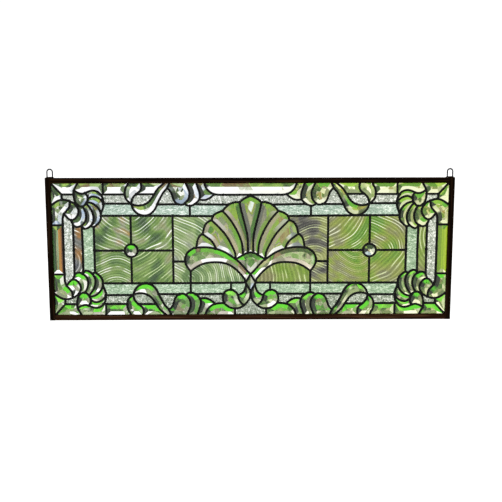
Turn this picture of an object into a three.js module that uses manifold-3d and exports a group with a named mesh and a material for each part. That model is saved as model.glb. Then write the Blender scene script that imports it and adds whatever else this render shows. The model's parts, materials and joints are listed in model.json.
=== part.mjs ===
// A leaded transom panel of clear bevelled, baroque, hammered and rippled glass, hung by two wire loops.
// Millimetres, +Z up. The front looks along -Y, and +X is to the right of someone who faces it.
// The origin is midway between the two hooks that carry the panel, where they bear in the loops' eyes.
import * as THREE from "three";
import { mergeVertices } from "three/addons/utils/BufferGeometryUtils.js";
import Module from "manifold-3d";

// Outside sizes of the panel, without the loops.
const PANEL_WIDTH = 914;
const PANEL_HEIGHT = 324;

// The frame is a U-shaped bar, open towards the glass, with eased outer edges.
const BAR_FACE = 12.5;
const BAR_WALL = 1.2;
const BAR_WEB = 5;
const BAR_EASING = 0.9;
const CORNER_GAP = 0.3;

// The lead came, and how far its ends and the glass go into the bars.
const CAME_WIDTH = 5;
const LEAF_THICKNESS = 1.2;
const CAME_IN_BAR = 5;
const GLASS_IN_BAR = 6;

// The glass, and the bevelled panes' raised fields in front of it.
const GLASS_THICKNESS = 3;
const PUTTY_GAP = 0.3;
const BRIDGE_WIDTH = 3;
const BRIDGE_DEPTH = 1.6;
const BRIDGE_LAP = 1.2;
const BEVEL_RISE = 1.9;
const BEVEL_WIDTH = 8;
const BEVEL_RIM = 0.3;

// The hanging loops are bent wire with a mound of solder over the corner's joint.
const WIRE_DIAMETER = 3;
const LOOP_WIDTH = 15;
const LOOP_HEIGHT = 20.4;
const LOOP_FROM_SIDE = 11;
const SOLDER_LENGTH = 20;
const SOLDER_WIDTH = 6;
const SOLDER_HEIGHT = 2.5;
const ARCH_STEPS = 8;
const WIRE_SIDES = 12;

// How far a straight facet may stand off the curve that it follows, and a pane's side off its lead.
const CHORD_TOLERANCE = 0.6;
const OUTLINE_TOLERANCE = 1.8;
const FINEST_TOLERANCE = 0.02;

// The shortest side that an outline keeps, and the distance within which mesh points are the same point.
const SMALLEST_EDGE = 0.25;
const SAME_POINT = 1e-4;

// How far a loose lead end may lie from the lead that it meets, and how near to a bend it joins the bend.
const REACH = 6;
const JOINT_SNAP = 1.2;

// How far a cutter goes past the face that it cuts.
const CUT_THROUGH = 1;

const CHANNEL = GLASS_THICKNESS + 2 * PUTTY_GAP;
const CAME_DEPTH = CHANNEL + 2 * LEAF_THICKNESS;
const BAR_CHANNEL = CAME_DEPTH + 2 * PUTTY_GAP;
const BAR_DEPTH = BAR_CHANNEL + 2 * BAR_WALL;
const SIGHT_SIDE = PANEL_WIDTH / 2 - BAR_FACE;
const SIGHT_HALF_HEIGHT = PANEL_HEIGHT / 2 - BAR_FACE;
const GLASS_FACE = GLASS_THICKNESS / 2;
const GLASS_SIDE = SIGHT_SIDE + GLASS_IN_BAR;
const GLASS_HALF_HEIGHT = SIGHT_HALF_HEIGHT + GLASS_IN_BAR;
const LOOP_BEARING = LOOP_HEIGHT - WIRE_DIAMETER;

const wasm = await Module();
wasm.setup();

// A closed mesh as a solid, and a solid as a geometry.
function solidOf(geometry) {
  const bare = geometry.clone();
  bare.deleteAttribute("normal");
  bare.deleteAttribute("uv");
  const merged = mergeVertices(bare, SAME_POINT);
  return new wasm.Manifold(
    new wasm.Mesh({
      numProp: 3,
      vertProperties: new Float32Array(merged.attributes.position.array),
      triVerts: new Uint32Array(merged.index.array),
    }),
  );
}

function geometryOf(solid) {
  const mesh = solid.getMesh();
  const geometry = new THREE.BufferGeometry();
  geometry.setAttribute("position", new THREE.BufferAttribute(new Float32Array(mesh.vertProperties), 3));
  geometry.setIndex(new THREE.BufferAttribute(new Uint32Array(mesh.triVerts), 1));
  geometry.computeVertexNormals();
  return geometry;
}

const joined = (solids) => solids.reduce((whole, solid) => whole.add(solid));

// The separate bodies of a solid that leads have cut up.
function bodiesOf(solid) {
  const mesh = solid.getMesh();
  const parent = Array.from({ length: mesh.numVert }, (_, i) => i);
  const rootOf = (i) => {
    while (parent[i] !== i) i = parent[i] = parent[parent[i]];
    return i;
  };
  for (let t = 0; t < mesh.triVerts.length; t += 3) {
    parent[rootOf(mesh.triVerts[t])] = rootOf(mesh.triVerts[t + 1]);
    parent[rootOf(mesh.triVerts[t + 1])] = rootOf(mesh.triVerts[t + 2]);
  }
  const triangles = new Map();
  for (let t = 0; t < mesh.triVerts.length; t += 3) {
    const root = rootOf(mesh.triVerts[t]);
    if (!triangles.has(root)) triangles.set(root, []);
    triangles.get(root).push(...mesh.triVerts.subarray(t, t + 3));
  }
  return [...triangles.values()].map((list) => {
    const renumbered = new Map();
    const positions = [];
    const triVerts = list.map((old) => {
      if (!renumbered.has(old)) {
        renumbered.set(old, renumbered.size);
        positions.push(...mesh.vertProperties.subarray(old * 3, old * 3 + 3));
      }
      return renumbered.get(old);
    });
    return new wasm.Manifold(
      new wasm.Mesh({
        numProp: 3,
        vertProperties: new Float32Array(positions),
        triVerts: new Uint32Array(triVerts),
      }),
    );
  });
}

// The outline of a flat body's front face, anticlockwise as seen from the front.
function outlineOf(solid) {
  const mesh = solid.getMesh();
  const point = (i) => mesh.vertProperties.subarray(i * 3, i * 3 + 3);
  const front = Math.min(...Array.from({ length: mesh.numVert }, (_, i) => point(i)[1]));
  const next = new Map();
  for (let t = 0; t < mesh.triVerts.length; t += 3) {
    const corners = Array.from(mesh.triVerts.subarray(t, t + 3));
    if (corners.some((i) => point(i)[1] > front + SAME_POINT)) continue;
    corners.forEach((from, k) => {
      const to = corners[(k + 1) % 3];
      if (next.get(to)?.has(from)) next.get(to).delete(from);
      else next.set(from, (next.get(from) ?? new Set()).add(to));
    });
  }
  const rim = [...next].filter(([, ends]) => ends.size > 0).map(([from, ends]) => [from, [...ends][0]]);
  const follow = new Map(rim);
  const outline = [];
  for (let at = rim[0][0]; outline.length < rim.length; at = follow.get(at)) {
    outline.push(new THREE.Vector2(point(at)[0], point(at)[2]));
  }
  return outline.filter((p, i) => p.distanceTo(outline[(i + 1) % outline.length]) > SMALLEST_EDGE);
}

function isInside(point, outline) {
  let inside = false;
  outline.forEach((a, i) => {
    const b = outline[(i + 1) % outline.length];
    const crosses = a.y > point.y !== b.y > point.y;
    if (crosses && point.x < a.x + ((point.y - a.y) / (b.y - a.y)) * (b.x - a.x)) inside = !inside;
  });
  return inside;
}

// A flat outline in X and Z, made thick from the depth yFront back to yBack.
function plate(outline, yFront, yBack) {
  const geometry = new THREE.ExtrudeGeometry(new THREE.Shape(outline), {
    depth: yBack - yFront,
    bevelEnabled: false,
  });
  geometry.rotateX(Math.PI / 2);
  geometry.translate(0, yBack, 0);
  return solidOf(geometry);
}

function rectangle(halfWidth, halfHeight) {
  return [
    new THREE.Vector2(-halfWidth, -halfHeight),
    new THREE.Vector2(halfWidth, -halfHeight),
    new THREE.Vector2(halfWidth, halfHeight),
    new THREE.Vector2(-halfWidth, halfHeight),
  ];
}

// The cartoon: every lead as knots [x, z] from the panel's middle, drawn for a sight 889 wide and 299 high
// and stretched to the panel's own. A lead's two ends run on to the lead or the bar that they meet.
const drawn = ([x, z]) =>
  new THREE.Vector2((x / 444.5) * SIGHT_SIDE, (z / 149.5) * SIGHT_HALF_HEIGHT);

// The leads of one quarter of the border, the same in all four. Heights here are from the middle outwards.
const borderLeads = {
  mitre: [[455, 161.6], [421.5, 125]],
  mitre_stub: [[421.5, 125], [421, 113.5]],
  corner_row: [[421.5, 125], [394, 125]],
  leaf_and_drop: [
    [450, 96], [444.5, 101], [435, 108], [426, 112.3], [417.5, 113.3], [408, 111.3], [398, 107],
    [390.5, 101], [385.8, 93], [384.8, 85.4], [387.7, 77.4], [393.4, 70.5], [400.3, 67.5],
    [406, 69.3], [411, 74], [416.8, 82],
  ],
  leaf_edge: [[404, 110], [405, 98], [409.5, 90.5], [417, 82], [420.2, 73], [421, 60]],
  upper_drop: [
    [383, 155], [388, 145], [392.3, 137], [394.6, 128], [394, 117.6], [391.8, 109], [386.5, 101.5],
    [379, 98], [371.6, 100.3], [365.2, 108.4], [363.2, 116.4], [364.7, 122.7], [368.5, 128.2],
  ],
  wave_and_rim: [
    [391, 133.5], [385.4, 129], [376.2, 126.7], [368.2, 128.5], [360, 132], [351, 133.6],
    [341.7, 131.3], [335, 125.6], [330.5, 117.6], [328.5, 108], [328.7, 100], [330.8, 92], [335.5, 82],
  ],
  first_rib: [[363, 115], [354.4, 120], [345, 119.3], [337, 115.3], [331.4, 109.5], [328.8, 102]],
  second_rib: [
    [366, 107], [360, 107], [351, 103.8], [341.7, 95.7], [336, 85.4], [335, 74], [338.3, 63.6],
    [346.3, 55.6], [352, 52], [358.5, 54],
  ],
  third_rib: [
    [368.5, 103.5], [364, 101.5], [356.7, 91], [352.3, 79.7], [352, 67], [356.7, 56.7], [364.7, 49.8],
    [372.7, 48], [379.6, 53.3],
  ],
  fourth_rib: [
    [377, 98], [373.5, 94.5], [369, 84], [368.2, 73], [371.6, 62.4], [379.6, 55], [388.8, 52],
    [397, 56], [402.6, 66],
  ],
  side_bevel_end: [[450, 56], [421, 56]],
  side_line_one: [[421, 60], [421, 0]],
  side_line_two: [[398, 58], [398, 0]],
  side_line_three: [[377.7, 53], [377.7, 0]],
  side_line_four: [[352, 53], [352, 0]],
  corner_divider: [[329, 155], [329, 125]],
  outer_row: [[334, 125], [280, 125]],
  middle_row: [[329, 104.4], [266.7, 104]],
  comma_outside: [
    [272, 155], [274.2, 146], [278.2, 139.4], [280.5, 130], [280, 120], [276, 111.8], [266.7, 104],
  ],
  comma_inside: [
    [246, 155], [244.2, 147], [243.7, 140.5], [246, 133.6], [251.8, 128], [259.8, 121], [264.4, 114],
    [266.7, 104],
  ],
  outer_row_in_ribbon: [[255, 125], [214.5, 125]],
  ribbon_inside: [
    [266.7, 104], [259.8, 101], [250.6, 99.8], [240.3, 101.3], [231, 105.5], [223, 113],
    [216.2, 123.3], [210.4, 132.5], [204.7, 139.4], [197.8, 145.7], [187, 155],
  ],
  ribbon_outside: [
    [266.7, 104], [263.3, 93.4], [256.4, 84.8], [248.3, 79.7], [239.2, 77.6], [228.8, 79],
    [219.6, 84.8], [212.7, 93.4], [208.2, 103.8], [202.4, 115.3], [194.4, 129], [186.3, 138.8],
    [179, 155],
  ],
  middle_row_to_petal: [[208, 101.8], [161.5, 101.8]],
  petal_one: [
    [186, 139.2], [178.8, 131.3], [175, 122], [171.4, 111.8], [165.7, 105], [157.6, 101.7],
    [149.6, 102.6], [142.7, 108.4], [138, 116.4], [136.4, 128], [139.3, 138], [147, 155],
  ],
  petal_two: [
    [146.5, 105], [143.9, 101], [136.7, 98.9], [127.6, 101.3], [119.4, 107.4], [114.8, 113],
    [113.3, 120], [113.8, 128], [116.3, 136], [123, 155],
  ],
  petal_three: [[114, 113], [104, 112], [96, 114], [88.8, 118], [81, 124.5]],
  half_round: [
    [104, 155], [102.3, 147], [99, 139], [95, 134], [88.8, 128.8], [80.6, 125.2], [70.4, 123.7],
    [60.8, 123.7],
  ],
  middle_row_to_fan: [[125, 101.7], [62, 101.7]],
  ripple_divider: [[135.8, 99], [135.8, 77]],
  inner_row: [[336, 77], [239.2, 77]],
  inner_row_to_middle: [[239.2, 77], [86.7, 77]],
};

// The leads above and below the middle that only the two halves share. Heights are plain here.
const middleLeads = {
  top_bevel_foot: [[60.8, 123.7], [0, 123.7]],
  top_middle_row: [[62, 101.7], [49, 101.7]],
  fan_petal_a: [[122.4, 5], [120.4, 15.6], [118.4, 23.7], [114.3, 31], [107.7, 35.5]],
  fan_petal_b: [[107.7, 35.5], [104.5, 49], [101.3, 56.4], [96, 62.5], [87.3, 66.6]],
  fan_petal_c: [[87.3, 66.6], [86, 71], [83.7, 76.8], [77.6, 81.5], [70.4, 85], [62.4, 87.3]],
  fan_petal_d: [
    [62.4, 87.3], [58, 93], [53, 98], [47, 102.8], [40, 105.3], [32.7, 107], [24.6, 106.8],
  ],
  fan_petal_e: [[24.6, 106.8], [17.3, 113], [9.2, 117.6], [0, 121.5]],
  fan_rib_ab: [[107.7, 35.5], [99, 28.8], [90.8, 22.7], [84.7, 15.6], [79.6, 6.4], [78.5, 2]],
  fan_rib_bc: [
    [87.3, 66.6], [78.6, 58.4], [70.4, 50], [62, 41], [55, 32], [48, 20.7], [41.8, 8.4], [37.8, 0],
    [34.7, -9], [33.4, -22],
  ],
  fan_rib_cd: [
    [62.4, 87.3], [52, 75.8], [44, 65.6], [36.7, 54.3], [30.6, 43], [25.5, 32], [21, 19.6],
    [18.4, 7.4], [17, -12],
  ],
  fan_rib_de: [
    [24.6, 106.8], [21, 89], [17.3, 74.7], [12.8, 57.4], [8.7, 40], [6.3, 23.7], [6, 7.4], [6, -7.5],
  ],
  shield_top: [[31.5, -21], [22, -15.5], [12.7, -10], [4.7, -7.2], [0, -6.6]],
  wing_upper: [
    [135.5, -49.5], [141.3, -42], [146.5, -33], [148.2, -25], [147, -16], [143, -8], [136.7, -2],
    [127.6, 3.3], [118.4, 4.8], [107, 5.3], [95, 4.8], [82.7, 2.8], [72.4, 0], [60, -5], [51, -10],
    [38, -19.2], [28.8, -26], [19.6, -35.3], [9.3, -47], [0, -56.5],
  ],
  wing_lower: [
    [135.5, -49.5], [127.5, -43.3], [118.3, -37.6], [105.7, -32], [92, -29.6], [78, -29],
    [64.4, -30], [51.7, -33.6], [40.3, -40], [30, -48.5], [20.7, -58.3], [14, -67.4], [11.5, -76],
  ],
  diamond_upper: [[0, -56.5], [11.5, -76]],
  diamond_lower: [[11.5, -76], [0, -96]],
  wing_tie: [[174.8, -27.3], [148, -27.3]],
  dome_side: [[135.5, -49.5], [135.5, -77]],
  field_line_one_top: [[269, 77], [269, 12.5]],
  field_line_one_foot: [[269, -77], [269, -16.5]],
  field_line_two: [[174.8, 77], [174.8, -77]],
  field_cross_outside: [[352, -2], [283.5, -2]],
  field_cross_inside: [[254.5, -2], [174.8, -2]],
  foot_row: [[86.7, -77], [11.5, -76]],
  foot_divider: [[44.5, -77], [44.5, -93]],
  roundel: [
    [15, -128.3], [23, -121.4], [27.6, -112], [28.4, -106.5], [32.2, -99.6], [40.3, -93.8],
    [48, -92.7], [55, -95], [60.2, -100], [63.2, -111], [61.3, -121.4], [55, -128.3], [46, -134],
    [35.5, -136.3],
  ],
  foot_of_roundel_and_leaf: [
    [35.5, -136.3], [25.3, -134.6], [15, -128.3], [7, -120.3], [1.4, -110], [0, -96],
  ],
  leaf_outside: [[11.5, -76], [10.4, -82.4], [12, -89.3], [16, -97.3], [22, -102.6], [28.8, -104.5]],
  bell_side: [[35.3, -136], [35.3, -155]],
};

// The rondel is a round lead of its own.
const RONDEL_X = 269;
const RONDEL_Z = -2;
const RONDEL_RADIUS = 14.5;
const RONDEL_SIDES = 16;

// Each pane as a point in it. Panes that share a group are one solid, whose panes meet under the came's
// leaves, and the heart runs round the group. A bevelled pane has its raised field.
const borderPanes = [
  ["corner_border", "corner_side_bevel", 436, 118, "bevelled"],
  ["corner_border", "corner_end_bevel", 412, 135, "bevelled"],
  ["corner_border", "corner_hammered", 407, 118, "flat"],
  ["corner_border", "corner_top_bevel", 350, 141, "bevelled"],
  ["rosette", "side_leaf", 434, 88, "bevelled"],
  ["rosette", "side_drop", 400, 85, "bevelled"],
  ["rosette", "upper_drop", 380, 112, "bevelled"],
  ["rosette", "petal_of_the_wave", 350, 127, "bevelled"],
  ["rosette", "petal_at_the_rim", 343, 109, "bevelled"],
  ["rosette", "petal_in_the_corner", 344, 75, "bevelled"],
  ["rosette", "petal_beyond_it", 361, 75, "bevelled"],
  ["rosette", "petal_at_the_side", 382, 65, "bevelled"],
  ["border_bevels", "outer_bevel", 305, 137, "bevelled"],
  ["border_bevels", "comma", 262, 133, "bevelled"],
  ["border_bevels", "inner_bevel", 228, 137, "bevelled"],
  ["border_bevels", "hammered_in_ribbon", 233, 116, "flat"],
  ["ribbon", "ribbon", 236, 90, "bevelled"],
  ["outer_textures", "hammered_strip", 305, 114, "flat"],
  ["outer_textures", "rippled_strip", 305, 91, "flat"],
  ["inner_textures", "hammered_triangle", 187, 115, "flat"],
  ["inner_textures", "rippled_strip_to_petal", 180, 90, "flat"],
  ["inner_textures", "hammered_strip_to_fan", 95, 108, "flat"],
  ["inner_textures", "rippled_strip_to_fan", 110, 90, "flat"],
  ["petals", "petal_one", 158, 125, "bevelled"],
  ["petals", "petal_two", 127, 118, "bevelled"],
  ["petals", "petal_three", 103, 122, "bevelled"],
];

const halfPanes = [
  ["side_bevel_strip", "side_bevel_strip", 433, 0, "bevelled"],
  ["side_hammered_strip", "side_hammered_strip", 409, 0, "flat"],
  ["side_baroque_strip", "side_baroque_strip", 388, 0, "flat"],
  ["side_rippled_strip", "side_rippled_strip", 365, 0, "flat"],
  ["baroque_field", "upper_outer_field", 310, 40, "flat"],
  ["baroque_field", "upper_inner_field", 220, 40, "flat"],
  ["baroque_field", "lower_outer_field", 310, -40, "flat"],
  ["baroque_field", "lower_inner_field", 220, -40, "flat"],
  ["rondel", "rondel", 269, -2, "bevelled"],
  ["shoulder", "shoulder_upper", 150, 40, "flat"],
  ["shoulder", "shoulder_lower", 155, -55, "flat"],
  ["dome", "dome", 90, -55, "flat"],
  ["wing", "wing", 100, -12, "bevelled"],
  ["shell", "shell_petal_a", 106, 18, "bevelled"],
  ["shell", "shell_petal_b", 80, 40, "bevelled"],
  ["shell", "shell_petal_c", 60, 65, "bevelled"],
  ["shell", "shell_petal_d", 40, 90, "bevelled"],
  ["foot_bevel", "half_round_bevel", 65, -138, "bevelled"],
  ["foot_bevel", "roundel", 46, -112, "bevelled"],
  ["foot_bevel", "foot_leaf", 15, -108, "bevelled"],
  ["inner_textures", "rippled_foot_strip", 30, -85, "flat"],
];

const sharedPanes = [
  ["shell", "shell_petal_e", 0, 60, "bevelled"],
  ["shield", "shield", 0, -28, "bevelled"],
  ["diamond", "diamond", 0, -76, "bevelled"],
  ["top_centre_bevel", "top_centre_bevel", 0, 137, "bevelled"],
  ["bell", "bell", 0, -138, "flat"],
];

// The points of a smooth curve through the knots, with no more than its bends need.
function curvePoints(curve, from, to) {
  const start = curve.getPoint(from);
  const end = curve.getPoint(to);
  const halfway = (from + to) / 2;
  const chord = end.clone().sub(start);
  const off = Math.abs(chord.cross(curve.getPoint(halfway).sub(start))) / Math.max(chord.length(), 1e-9);
  if (off < CHORD_TOLERANCE) return [start, end];
  return [...curvePoints(curve, from, halfway).slice(0, -1), ...curvePoints(curve, halfway, to)];
}

function centreLine(knots) {
  const points = knots.map(drawn);
  if (points.length === 2) return points;
  const curve = new THREE.SplineCurve(points);
  const line = [points[0]];
  for (let i = 1; i < points.length; i++) {
    const spans = points.length - 1;
    line.push(...curvePoints(curve, (i - 1) / spans, i / spans).slice(1));
  }
  return simplified(line);
}

// Leaves out each point that the straight line past it misses by less than the tolerance.
function simplified(line, tolerance = CHORD_TOLERANCE) {
  if (line.length < 3) return line;
  const first = line[0];
  const last = line[line.length - 1];
  const chord = last.clone().sub(first);
  let worst = 0;
  let index = 0;
  for (let i = 1; i < line.length - 1; i++) {
    const span = line[i].clone().sub(first);
    const away = chord.length() < 1e-6 ? span.length() : Math.abs(chord.cross(span)) / chord.length();
    if (away > worst) {
      worst = away;
      index = i;
    }
  }
  if (worst < tolerance) return [first, last];
  const before = simplified(line.slice(0, index + 1), tolerance);
  return [...before.slice(0, -1), ...simplified(line.slice(index), tolerance)];
}

const mirrored = (line, sx, sz) => line.map((p) => new THREE.Vector2(p.x * sx, p.y * sz));

function allLeads() {
  const lines = [];
  for (const sx of [-1, 1]) {
    for (const sz of [-1, 1]) {
      for (const knots of Object.values(borderLeads)) lines.push(mirrored(centreLine(knots), sx, sz));
    }
    for (const knots of Object.values(middleLeads)) lines.push(mirrored(centreLine(knots), sx, 1));
  }
  return lines;
}

function nearestOn(line, point) {
  let best = { distance: Infinity };
  for (let i = 0; i + 1 < line.length; i++) {
    const along = line[i + 1].clone().sub(line[i]);
    const share = THREE.MathUtils.clamp(point.clone().sub(line[i]).dot(along) / along.lengthSq(), 0, 1);
    const foot = line[i].clone().addScaledVector(along, share);
    const distance = foot.distanceTo(point);
    if (distance < best.distance) best = { distance, foot, segment: i, line };
  }
  return best;
}

const isBeyond = (p, x, z) => Math.abs(p.x) > x - CUT_THROUGH || Math.abs(p.y) > z - CUT_THROUGH;

// Carries the loose ends of each lead on to the nearest point of another one.
function joinEnds(lines) {
  for (const line of lines) {
    for (const atStart of [true, false]) {
      const end = atStart ? line[0] : line[line.length - 1];
      if (isBeyond(end, SIGHT_SIDE, SIGHT_HALF_HEIGHT)) continue;
      const others = lines.filter((other) => other !== line);
      const best = others.map((other) => nearestOn(other, end)).sort((a, b) => a.distance - b.distance)[0];
      if (best.distance > REACH) continue;
      const corner = best.line.find((p) => p.distanceTo(best.foot) < JOINT_SNAP);
      const joint = corner ?? best.foot;
      if (!corner) best.line.splice(best.segment + 1, 0, joint);
      line[atStart ? 0 : line.length - 1] = joint.clone();
      const neighbour = atStart ? 1 : line.length - 2;
      if (line.length > 2 && line[neighbour].distanceTo(joint) < JOINT_SNAP) line.splice(neighbour, 1);
    }
  }
  return lines;
}

// The outline of a strip on a centre line, with mitred bends and its ends carried on a little.
const SHARPEST_MITRE = 0.6;
const END_OVERLAP = 1.5;

function strip(line, width, endOverlap) {
  const halfWidth = width / 2;
  const sides = [[], []];
  const last = line.length - 1;
  line.forEach((point, i) => {
    const before = i > 0 ? point.clone().sub(line[i - 1]).normalize() : null;
    const after = i < last ? line[i + 1].clone().sub(point).normalize() : null;
    const along = (before ?? after).clone().add(after ?? before).normalize();
    const normal = new THREE.Vector2(-along.y, along.x);
    const reach = halfWidth / Math.max(along.dot(after ?? before), SHARPEST_MITRE);
    const base = point.clone();
    if (!before) base.addScaledVector(after, -endOverlap);
    if (!after) base.addScaledVector(before, endOverlap);
    sides[0].push(base.clone().addScaledVector(normal, reach));
    sides[1].push(base.clone().addScaledVector(normal, -reach));
  });
  return [...sides[1], ...sides[0].reverse()];
}

const rondelOutlines = (radius) =>
  [-1, 1].map((sx) =>
    Array.from({ length: RONDEL_SIDES }, (_, i) => {
      const turn = ((i + 0.5) / RONDEL_SIDES) * 2 * Math.PI;
      const centre = drawn([sx * RONDEL_X, RONDEL_Z]);
      return centre.add(new THREE.Vector2(radius * Math.cos(turn), radius * Math.sin(turn)));
    }),
  );

// A ring on the rondel's lead line, as wide as a strip.
function rondelRings(width, yFront, yBack) {
  const outer = rondelOutlines(RONDEL_RADIUS + width / 2).map((outline) => plate(outline, yFront, yBack));
  const inner = rondelOutlines(RONDEL_RADIUS - width / 2).map((outline) => {
    return plate(outline, yFront - CUT_THROUGH, yBack + CUT_THROUGH);
  });
  return joined(outer).subtract(joined(inner));
}

function strips(lines, width, yFront, yBack) {
  return joined([
    ...lines.map((line) => plate(strip(line, width, END_OVERLAP), yFront, yBack)),
    rondelRings(width, yFront, yBack),
  ]);
}

// Where two lines meet that run beside two sides of an outline.
const NEARLY_PARALLEL = 0.02;

function meeting(first, second) {
  const d = first.along.cross(second.along);
  if (Math.abs(d) < NEARLY_PARALLEL) return first.to.clone().add(second.from).multiplyScalar(0.5);
  const gap = second.from.clone().sub(first.from);
  return first.from.clone().addScaledVector(first.along, gap.cross(second.along) / d);
}

const turn = (a, b, c) => b.clone().sub(a).cross(c.clone().sub(a));
const isCrossed = (a, b, c, d) => turn(a, b, c) * turn(a, b, d) < 0 && turn(c, d, a) * turn(c, d, b) < 0;

function isSimple(outline) {
  return !outline.some((a, i) => {
    const b = outline[(i + 1) % outline.length];
    return outline.some((c, j) => {
      const d = outline[(j + 1) % outline.length];
      if (j <= i + 1 || (i === 0 && j === outline.length - 1)) return false;
      return isCrossed(a, b, c, d);
    });
  });
}

// An outline with each side moved in by its own depth, without the sides that close up on the way.
function movedIn(outline, depthOf) {
  const count = outline.length;
  let sides = outline.map((a, index) => {
    const b = outline[(index + 1) % count];
    const along = b.clone().sub(a).normalize();
    const inward = new THREE.Vector2(-along.y, along.x);
    const shift = (p) => p.clone().addScaledVector(inward, depthOf(a, b));
    return { index, along, from: shift(a), to: shift(b) };
  });
  for (;;) {
    if (sides.length < 3) return null;
    const corners = sides.map((side, i) => meeting(sides[(i + sides.length - 1) % sides.length], side));
    const runs = sides.map((side, i) => {
      return corners[(i + 1) % sides.length].clone().sub(corners[i]).dot(side.along);
    });
    const closed = runs.indexOf(Math.min(...runs));
    if (runs[closed] > SMALLEST_EDGE) {
      const inside = corners.every((corner) => isInside(corner, outline));
      const sound = inside && isSimple(corners) && THREE.ShapeUtils.area(corners) > 0;
      return sound ? { corners, kept: sides.map((side) => side.index) } : null;
    }
    sides = sides.filter((_, i) => i !== closed);
  }
}

// How far a bevel goes in from a side of a pane. At a bar it starts at the bar's inner edge.
const bevelDepth = (share) => (a, b) => {
  const inBar = [a, b].every((p) => isBeyond(p, GLASS_SIDE, GLASS_HALF_HEIGHT));
  return BEVEL_WIDTH * share + (inBar ? GLASS_IN_BAR : BEVEL_RIM);
};

// The field's corner that each corner of the outline slopes up to.
function cornersOfSlopes(outline, kept) {
  return outline.map((_, i) => Math.max(kept.findIndex((side) => side >= i), 0));
}

// Whether the slopes and the field stay within the outline, also where it curves inwards.
function slopesFit(outline, { corners, kept }) {
  const edges = corners.map((corner, k) => [corner, corners[(k + 1) % corners.length], -1]);
  cornersOfSlopes(outline, kept).forEach((k, i) => edges.push([outline[i], corners[k], i]));
  return edges.every(([a, b, start]) => {
    return outline.every((c, i) => {
      const next = (i + 1) % outline.length;
      return i === start || next === start || !isCrossed(a, b, c, outline[next]);
    });
  });
}

// A bevelled pane: straight edges, then a slope up to the flat field in front. A pane that is too narrow
// for the whole slope gets a share of it.
const NARROWER = 0.85;
const LEAST_SHARE = 0.2;

function bevelledPane(outline) {
  let share = 1;
  let field = movedIn(outline, bevelDepth(share));
  while (share > LEAST_SHARE && !(field && slopesFit(outline, field))) {
    share *= NARROWER;
    field = movedIn(outline, bevelDepth(share));
  }
  if (share <= LEAST_SHARE) return plate(outline, -GLASS_FACE, GLASS_FACE);
  const { corners, kept } = field;
  const count = outline.length;
  const positions = [];
  for (const p of outline) positions.push(p.x, GLASS_FACE, p.y);
  for (const p of outline) positions.push(p.x, -GLASS_FACE, p.y);
  for (const p of corners) positions.push(p.x, -GLASS_FACE - BEVEL_RISE * share, p.y);
  const faces = [];
  const slopeCorners = cornersOfSlopes(outline, kept);
  outline.forEach((_, i) => {
    const j = (i + 1) % count;
    faces.push(i, j, j + count, i, j + count, i + count);
    const a = 2 * count + slopeCorners[i];
    const b = 2 * count + slopeCorners[j];
    faces.push(i + count, j + count, b);
    if (a !== b) faces.push(i + count, b, a);
  });
  for (const [a, b, c] of THREE.ShapeUtils.triangulateShape(outline, [])) faces.push(c, b, a);
  for (const face of THREE.ShapeUtils.triangulateShape(corners, [])) {
    faces.push(...face.map((i) => i + 2 * count));
  }
  const geometry = new THREE.BufferGeometry();
  geometry.setAttribute("position", new THREE.Float32BufferAttribute(positions, 3));
  geometry.setIndex(faces);
  return solidOf(geometry);
}

// An outline with no more corners than it needs, kept true at its sharpest one.
function plainOutline(outline, tolerance = OUTLINE_TOLERANCE) {
  const count = outline.length;
  const bend = (i) => {
    const before = outline[i].clone().sub(outline[(i + count - 1) % count]).normalize();
    const after = outline[(i + 1) % count].clone().sub(outline[i]).normalize();
    return before.dot(after);
  };
  const order = outline.map((_, i) => i).sort((a, b) => bend(a) - bend(b));
  const start = order[0];
  const turned = [...outline.slice(start), ...outline.slice(0, start)];
  let farthest = 1;
  turned.forEach((p, i) => {
    if (p.distanceTo(turned[0]) > turned[farthest].distanceTo(turned[0])) farthest = i;
  });
  const there = simplified(turned.slice(0, farthest + 1), tolerance);
  const back = simplified([...turned.slice(farthest), turned[0]], tolerance);
  const plain = [...there.slice(0, -1), ...back.slice(0, -1)];
  const sound = plain.length > 2 && isSimple(plain) && movedIn(plain, () => PUTTY_GAP);
  return sound || tolerance < FINEST_TOLERANCE ? plain : plainOutline(outline, tolerance / 2);
}

const sheet = plate(rectangle(GLASS_SIDE, GLASS_HALF_HEIGHT), -GLASS_FACE, GLASS_FACE);
const leads = joinEnds(allLeads());
const leadwork = strips(leads, CAME_WIDTH, -GLASS_FACE - CUT_THROUGH, GLASS_FACE + CUT_THROUGH);

// Every pane, with its outline between the leads and, at the bars, the edge that goes into the channel.
function allPanes() {
  const whole = bodiesOf(sheet.subtract(leadwork)).map((body) => plainOutline(outlineOf(body)));
  const panes = [];
  const place = (group, name, x, z, finish) => {
    const point = drawn([x, z]);
    const outline = whole.find((candidate) => isInside(point, candidate));
    if (!outline) throw new Error(`no pane holds ${group} ${name}`);
    panes.push({ group, name, outline, bevelled: finish === "bevelled" });
  };
  for (const [sx, side] of [[-1, "left"], [1, "right"]]) {
    for (const [sz, level] of [[-1, "bottom"], [1, "top"]]) {
      for (const [group, name, x, z, finish] of borderPanes) {
        place(`${group}_${level}_${side}`, name, sx * x, sz * z, finish);
      }
    }
    for (const [group, name, x, z, finish] of halfPanes) {
      const node = { shell: "shell", inner_textures: `inner_textures_bottom_${side}` }[group];
      place(node ?? `${group}_${side}`, name, sx * x, z, finish);
    }
  }
  for (const pane of sharedPanes) place(...pane);
  if (new Set(panes.map((pane) => pane.outline)).size !== whole.length) {
    throw new Error(`${whole.length} panes are cut and ${panes.length} are named`);
  }
  return panes;
}

const panes = allPanes();
const paneAt = (point) => panes.find((pane) => isInside(point, pane.outline));

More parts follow.
